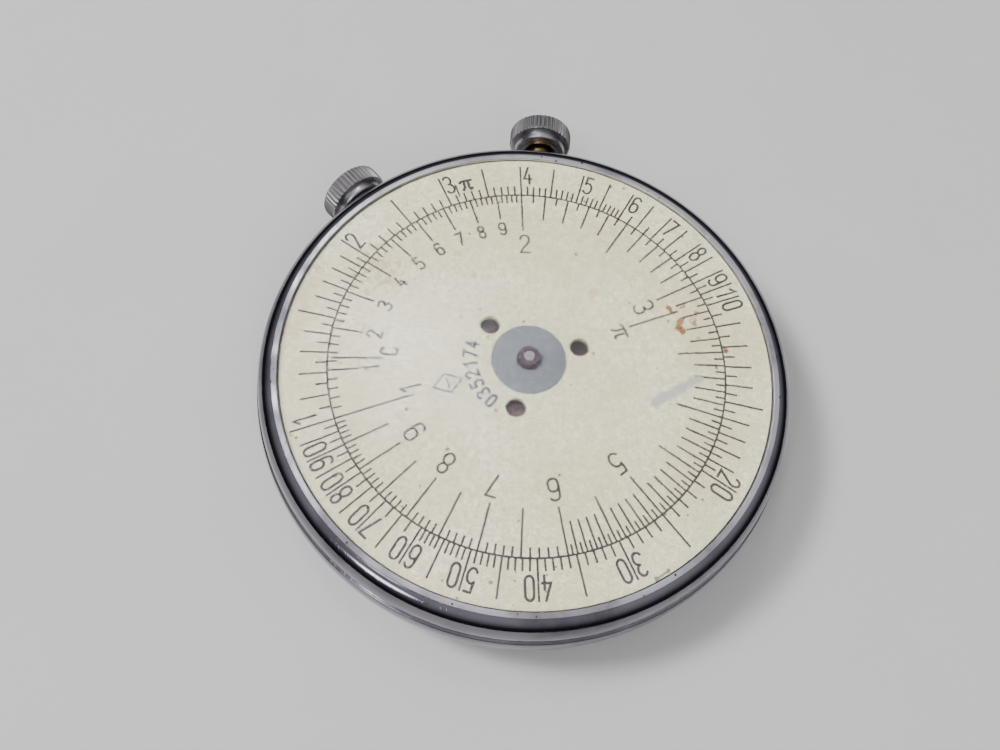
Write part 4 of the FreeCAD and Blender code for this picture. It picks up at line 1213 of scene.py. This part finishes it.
@dataclass(frozen=True)
class Dials:
    """Both dials with their print, and the middle of the front one."""

    palette: Palette

    def front(self) -> list[bpy.types.Object]:
        """The movable dial with its three round holes, its print, hub disc and pointer seat."""
        holes = [
            arc((5.0 * math.cos(a), 5.0 * math.sin(a)), 0.95, 0, 360, 64)[:-1]
            for a in (math.radians(20.0 + 120 * k) for k in range(3))
        ]
        outlines = [arc((0, 0), DIAL_RADIUS, 0, 360, 256)[:-1], arc((0, 0), 2.7, 0, 360, 64)[:-1], *holes]
        disc = plate("dial_plate_front", outlines, MID + 3.25, DIAL_FACE)
        disc.data.materials.append(self.palette[Finish.DIAL_ENAMEL])
        settle(disc, "dial_set", "dial_enamel", "front_dial")
        printed = FrontPrint()
        printed.draw()
        lines = printed.lines.ink.build("print_front", [self.palette[Finish.DIAL_INK]])
        mark = printed.mark.ink.build("print_front_mark", [self.palette[Finish.MARK_INK]])
        settle(lines, "dial_set", "dial_enamel")
        settle(mark, "dial_set", "dial_enamel")
        return [disc, lines, mark, self._hub_disc(), self._seat()]

    def back(self) -> list[bpy.types.Object]:
        """The fixed back dial with its print and its two feet."""
        maker = MeshMaker()
        face = BACK_DIAL_FACE
        maker.lathe([(1.5, face), (1.5, face + 0.5), (DIAL_RADIUS, face + 0.5), (DIAL_RADIUS, face)])
        for angle in (112.5, 292.5):
            foot = Matrix.Rotation(math.radians(angle), 4, "Z") @ Matrix.Translation((14.0, 0, 0))
            maker.lathe([(0, face + 1.3), (0.5, face + 1.3), (0.5, face + 0.5), (0, face + 0.5)], foot, 24)
        disc = maker.build("dial_plate_back", [self.palette[Finish.BACK_ENAMEL]], 30)
        settle(disc, "case", "dial_enamel", "back_dial")
        printed = BackPrint()
        printed.draw()
        lines = printed.lines.ink.build("print_back", [self.palette[Finish.BACK_INK]])
        settle(lines, "case", "dial_enamel")
        return [disc, lines]

    def _hub_disc(self) -> bpy.types.Object:
        low, high = DIAL_FACE, DIAL_FACE + 0.12
        edge = arc((3.45, high - 0.05), 0.05, 0, 90, 4)
        maker = MeshMaker()
        maker.lathe([(1.15, low), (3.5, low), *edge, (1.18, high), (1.15, high - 0.03)], steps=128)
        obj = maker.build("hub_disc", [self.palette[Finish.HUB_GRAY]], 40)
        return settle(obj, "dial_set", "hub_gray", "dial_hub_cap")

    def _seat(self) -> bpy.types.Object:
        low, high = MID + 3.7, MID + 4.62
        edge = arc((0.89, high - 0.06), 0.06, 0, 90, 4)
        maker = MeshMaker()
        maker.lathe([(0.5, low), (0.95, low), *edge, (0.56, high), (0.5, high - 0.08)], steps=96)
        obj = maker.build("seat_ring", [self.palette[Finish.SEAT_COPPER]], 40)
        return settle(obj, "pointer_set", "seat_copper", "pointer_seat")


@dataclass(frozen=True)
class Crown:
    """One knurled crown with its tube and enamel dot.

    Attributes:
        palette: The finishes.
        kind: What it turns: "dial" or "pointer".
        angle: The direction of its stem, anticlockwise from +X.
        start: The distance of its inner face from the case's axis.
        tube_end: The distance of its tube's outer end from the case's axis.
        dot: The finish of its enamel dot.
    """

    palette: Palette
    kind: str
    angle: float
    start: float
    tube_end: float
    dot: Finish
    ridges: int = 44

    def make(self) -> list[bpy.types.Object]:
        """Builds the crown, its tube and its dot."""
        return [self._head(), self._tube(), self._enamel()]

    def _knurl(self, height: float, turn: np.ndarray) -> np.ndarray:
        if not 0.86 < height < 2.68:
            return np.full(len(turn), 9.0)
        wave = 0.5 - 0.5 * np.cos(self.ridges * turn)
        return 3.35 - 0.22 * (1 - wave**1.5)

    def _head(self) -> bpy.types.Object:
        boss = [(1.7, 0.0), (2.08, 0.0), (2.08, 0.12), (2.26, 0.12), (2.26, 0.0)]
        boss.extend(arc((2.45, 0.3), 0.3, -90, 0, 6))
        inner_edge = [(2.75, 0.8), *arc((3.05, 1.1), 0.3, -90, 0, 8)]
        outer_edge = [*arc((3.05, 2.4), 0.3, 0, 90, 8)]
        end = [(2.2, 2.95), (0.9, 2.95), (0.85, 2.92), (0.85, 2.8), (0.0, 2.8)]
        bore = [(0.0, 2.3), (0.6, 2.3), (0.6, 1.6), (1.7, 1.6)]
        profile = [*boss, *inner_edge, *outer_edge, *end, *bore]
        maker = MeshMaker()
        maker.lathe(profile, outwards(self.angle, self.start), self.ridges * 12, limit=self._knurl)
        obj = maker.build(f"{self.kind}_crown_head", [self.palette[Finish.CROWN_NICKEL]], 38)
        return settle(obj, f"{self.kind}_crown_set", "crown_nickel", f"{self.kind}_crown")

    def _tube(self) -> bpy.types.Object:
        length = self.tube_end - 22.9
        profile = [(0.65, 0), (1.3, 0), (1.3, length - 0.1), (1.2, length), (0.65, length)]
        maker = MeshMaker()
        maker.lathe(profile, outwards(self.angle, 22.9), 96)
        obj = maker.build(f"{self.kind}_tube", [self.palette[Finish.TUBE_BRASS]], 40)
        return settle(obj, "case", "tube_brass", f"{self.kind}_crown_tube")

    def _enamel(self) -> bpy.types.Object:
        dome = [(0.83, 2.8), (0.83, 2.92), (0.7, 2.95), (0.42, 2.972), (0, 2.98)]
        maker = MeshMaker()
        maker.lathe([(0, 2.8), *dome], outwards(self.angle, self.start), 64)
        obj = maker.build(f"{self.kind}_dot", [self.palette[self.dot]], 60)
        return settle(obj, f"{self.kind}_crown_set", self.dot.value.name, f"{self.kind}_crown_dot")


@dataclass(frozen=True)
class Works:
    """The hidden works: CAD nodes that only need their finishes."""

    palette: Palette
    nodes: dict[str, bpy.types.Object]
    record: dict

    def finish(self) -> None:
        """Gives every shown CAD node the material of its slot."""
        by_slot = {finish.value.name: finish for finish in Finish}
        for entry in self.record["subparts"]:
            node = self.nodes[entry["node"]]
            if node.hide_render:
                continue
            node.data.materials.clear()
            node.data.materials.append(self.palette[by_slot[entry["material_slot"]]])
            node.data.polygons.foreach_set("use_smooth", [True] * len(node.data.polygons))
            node.data.set_sharp_from_angle(angle=math.radians(25))
            LOG.info("%s is finished in %s", node.name, entry["material_slot"])


# ---------------------------------------------------------------- studio


@dataclass(frozen=True)
class Panel:
    """A round soft light aimed at the middle of the dial, which fades towards its edge.

    Attributes:
        name: The panel's name.
        place: Where its middle is, in metres.
        radius: Its radius in metres.
        strength: How bright its middle is.
        color: The light's colour.
        mirrored: Whether polished surfaces show it.
    """

    name: str
    place: tuple[float, float, float]
    radius: float
    strength: float
    color: Color
    mirrored: bool = True

    def make(self) -> bpy.types.Object:
        """Builds the panel."""
        rim = [(x, y, 0) for x, y in arc((0, 0), self.radius / MM, 0, 360, 64)[:-1]]
        maker = MeshMaker()
        maker.add(rim, [list(range(64))])
        obj = maker.build(self.name, [self._glow()])
        obj.location = self.place
        aim = Vector((0, 0, 0.005)) - Vector(self.place)
        obj.rotation_euler = aim.to_track_quat("Z", "Y").to_euler()
        obj.visible_camera = False
        obj.visible_glossy = self.mirrored
        return obj

    def _glow(self) -> bpy.types.Material:
        material, net, shader, at = new_material(f"{self.name}_glow")
        away = net.math("DIVIDE", net.vector("LENGTH", at, output=1), self.radius)
        fade = net.math("SUBTRACT", 1.0, net.ramp(away, 0.0, 1.0))
        shader.inputs["Base Color"].default_value = (0, 0, 0, 1)
        shader.inputs["Emission Strength"].default_value = self.strength
        net.tree.links.new(net.blend(fade, (0, 0, 0), self.color), shader.inputs["Emission Color"])
        return material


class Studio:
    """A plain pale floor, soft lights and the camera."""

    PANELS = (
        Panel("window_light", (-0.21, 0.41, 0.89), 0.14, 21.0, (0.96, 0.98, 1.0)),
        Panel("ceiling_light", (-0.2, -0.04, 0.96), 0.07, 10.0, (0.92, 0.96, 1.0)),
        Panel("rim_light", (-0.42, -0.47, 0.77), 0.2, 16.0, (0.9, 0.93, 1.0)),
        Panel("key_light", (-0.6, 0.1, 0.75), 0.2, 78.0, (1.0, 0.99, 0.97), False),
        Panel("fill_light", (0.3, -0.7, 0.65), 0.3, 9.0, (1.0, 1.0, 1.0), False),
    )

    def make(self) -> None:
        """Builds the floor, the lights, the world and the camera."""
        maker = MeshMaker()
        maker.add([(-1500, -1500, 0), (1500, -1500, 0), (1500, 1500, 0), (-1500, 1500, 0)], [[0, 1, 2, 3]])
        floor = maker.build("floor", [self._floor()])
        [panel.make() for panel in self.PANELS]
        self._world()
        self._camera()

    @staticmethod
    def _floor() -> bpy.types.Material:
        material, net, shader, at = new_material("pale_floor")
        noise = net.node("TexNoise", {"Vector": at, "Scale": 60.0, "Detail": 3.0})
        color = net.blend(noise.outputs["Fac"], (0.6, 0.59, 0.58), (0.64, 0.63, 0.62))
        net.tree.links.new(color, shader.inputs["Base Color"])
        shader.inputs["Roughness"].default_value = 0.7
        return material

    @staticmethod
    def _world() -> None:
        world = bpy.data.worlds.new("soft_room")
        world.use_nodes = True
        net = Net(world.node_tree)
        height = net.node("SeparateXYZ", {0: net.node("TexCoord").outputs["Generated"]}).outputs["Z"]
        slope = net.math("ABSOLUTE", height)
        color = net.blend(net.ramp(slope, 0.3, 1.0), (0.045, 0.045, 0.05), (0.95, 0.96, 1.0))
        background = next(n for n in world.node_tree.nodes if n.type == "BACKGROUND")
        net.tree.links.new(color, background.inputs["Color"])
        background.inputs["Strength"].default_value = 0.7
        bpy.context.scene.world = world

    @staticmethod
    def _camera() -> None:
        data = bpy.data.cameras.new("camera")
        data.lens = 30.921
        data.sensor_width = 36
        data.clip_start = 0.001
        camera = bpy.data.objects.new("camera", data)
        bpy.context.scene.collection.objects.link(camera)
        camera.location = (-0.004566, -0.034824, 0.081027)
        camera.rotation_euler = [math.radians(a) for a in (24.4635, -3.4565, 4.0404)]
        bpy.context.scene.camera = camera


def main() -> None:
    """Builds the whole scene."""
    logging.basicConfig(level=logging.INFO, format="%(name)s: %(message)s")
    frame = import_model()
    palette = Palette()
    case = Case(palette)
    case.front()
    case.ring()
    case.back()
    crystals = Crystals(palette)
    crystals.front()
    crystals.back()
    dials = Dials(palette)
    dials.front()
    dials.back()
    Crown(palette, "dial", 90.0, 27.2, 27.9, Finish.DOT_BLACK).make()
    Crown(palette, "pointer", 135.0, 25.55, 26.2, Finish.DOT_RED).make()
    Works(palette, frame["nodes"], frame["record"]).finish()
    Studio().make()


if __name__ == "__main__":
    main()
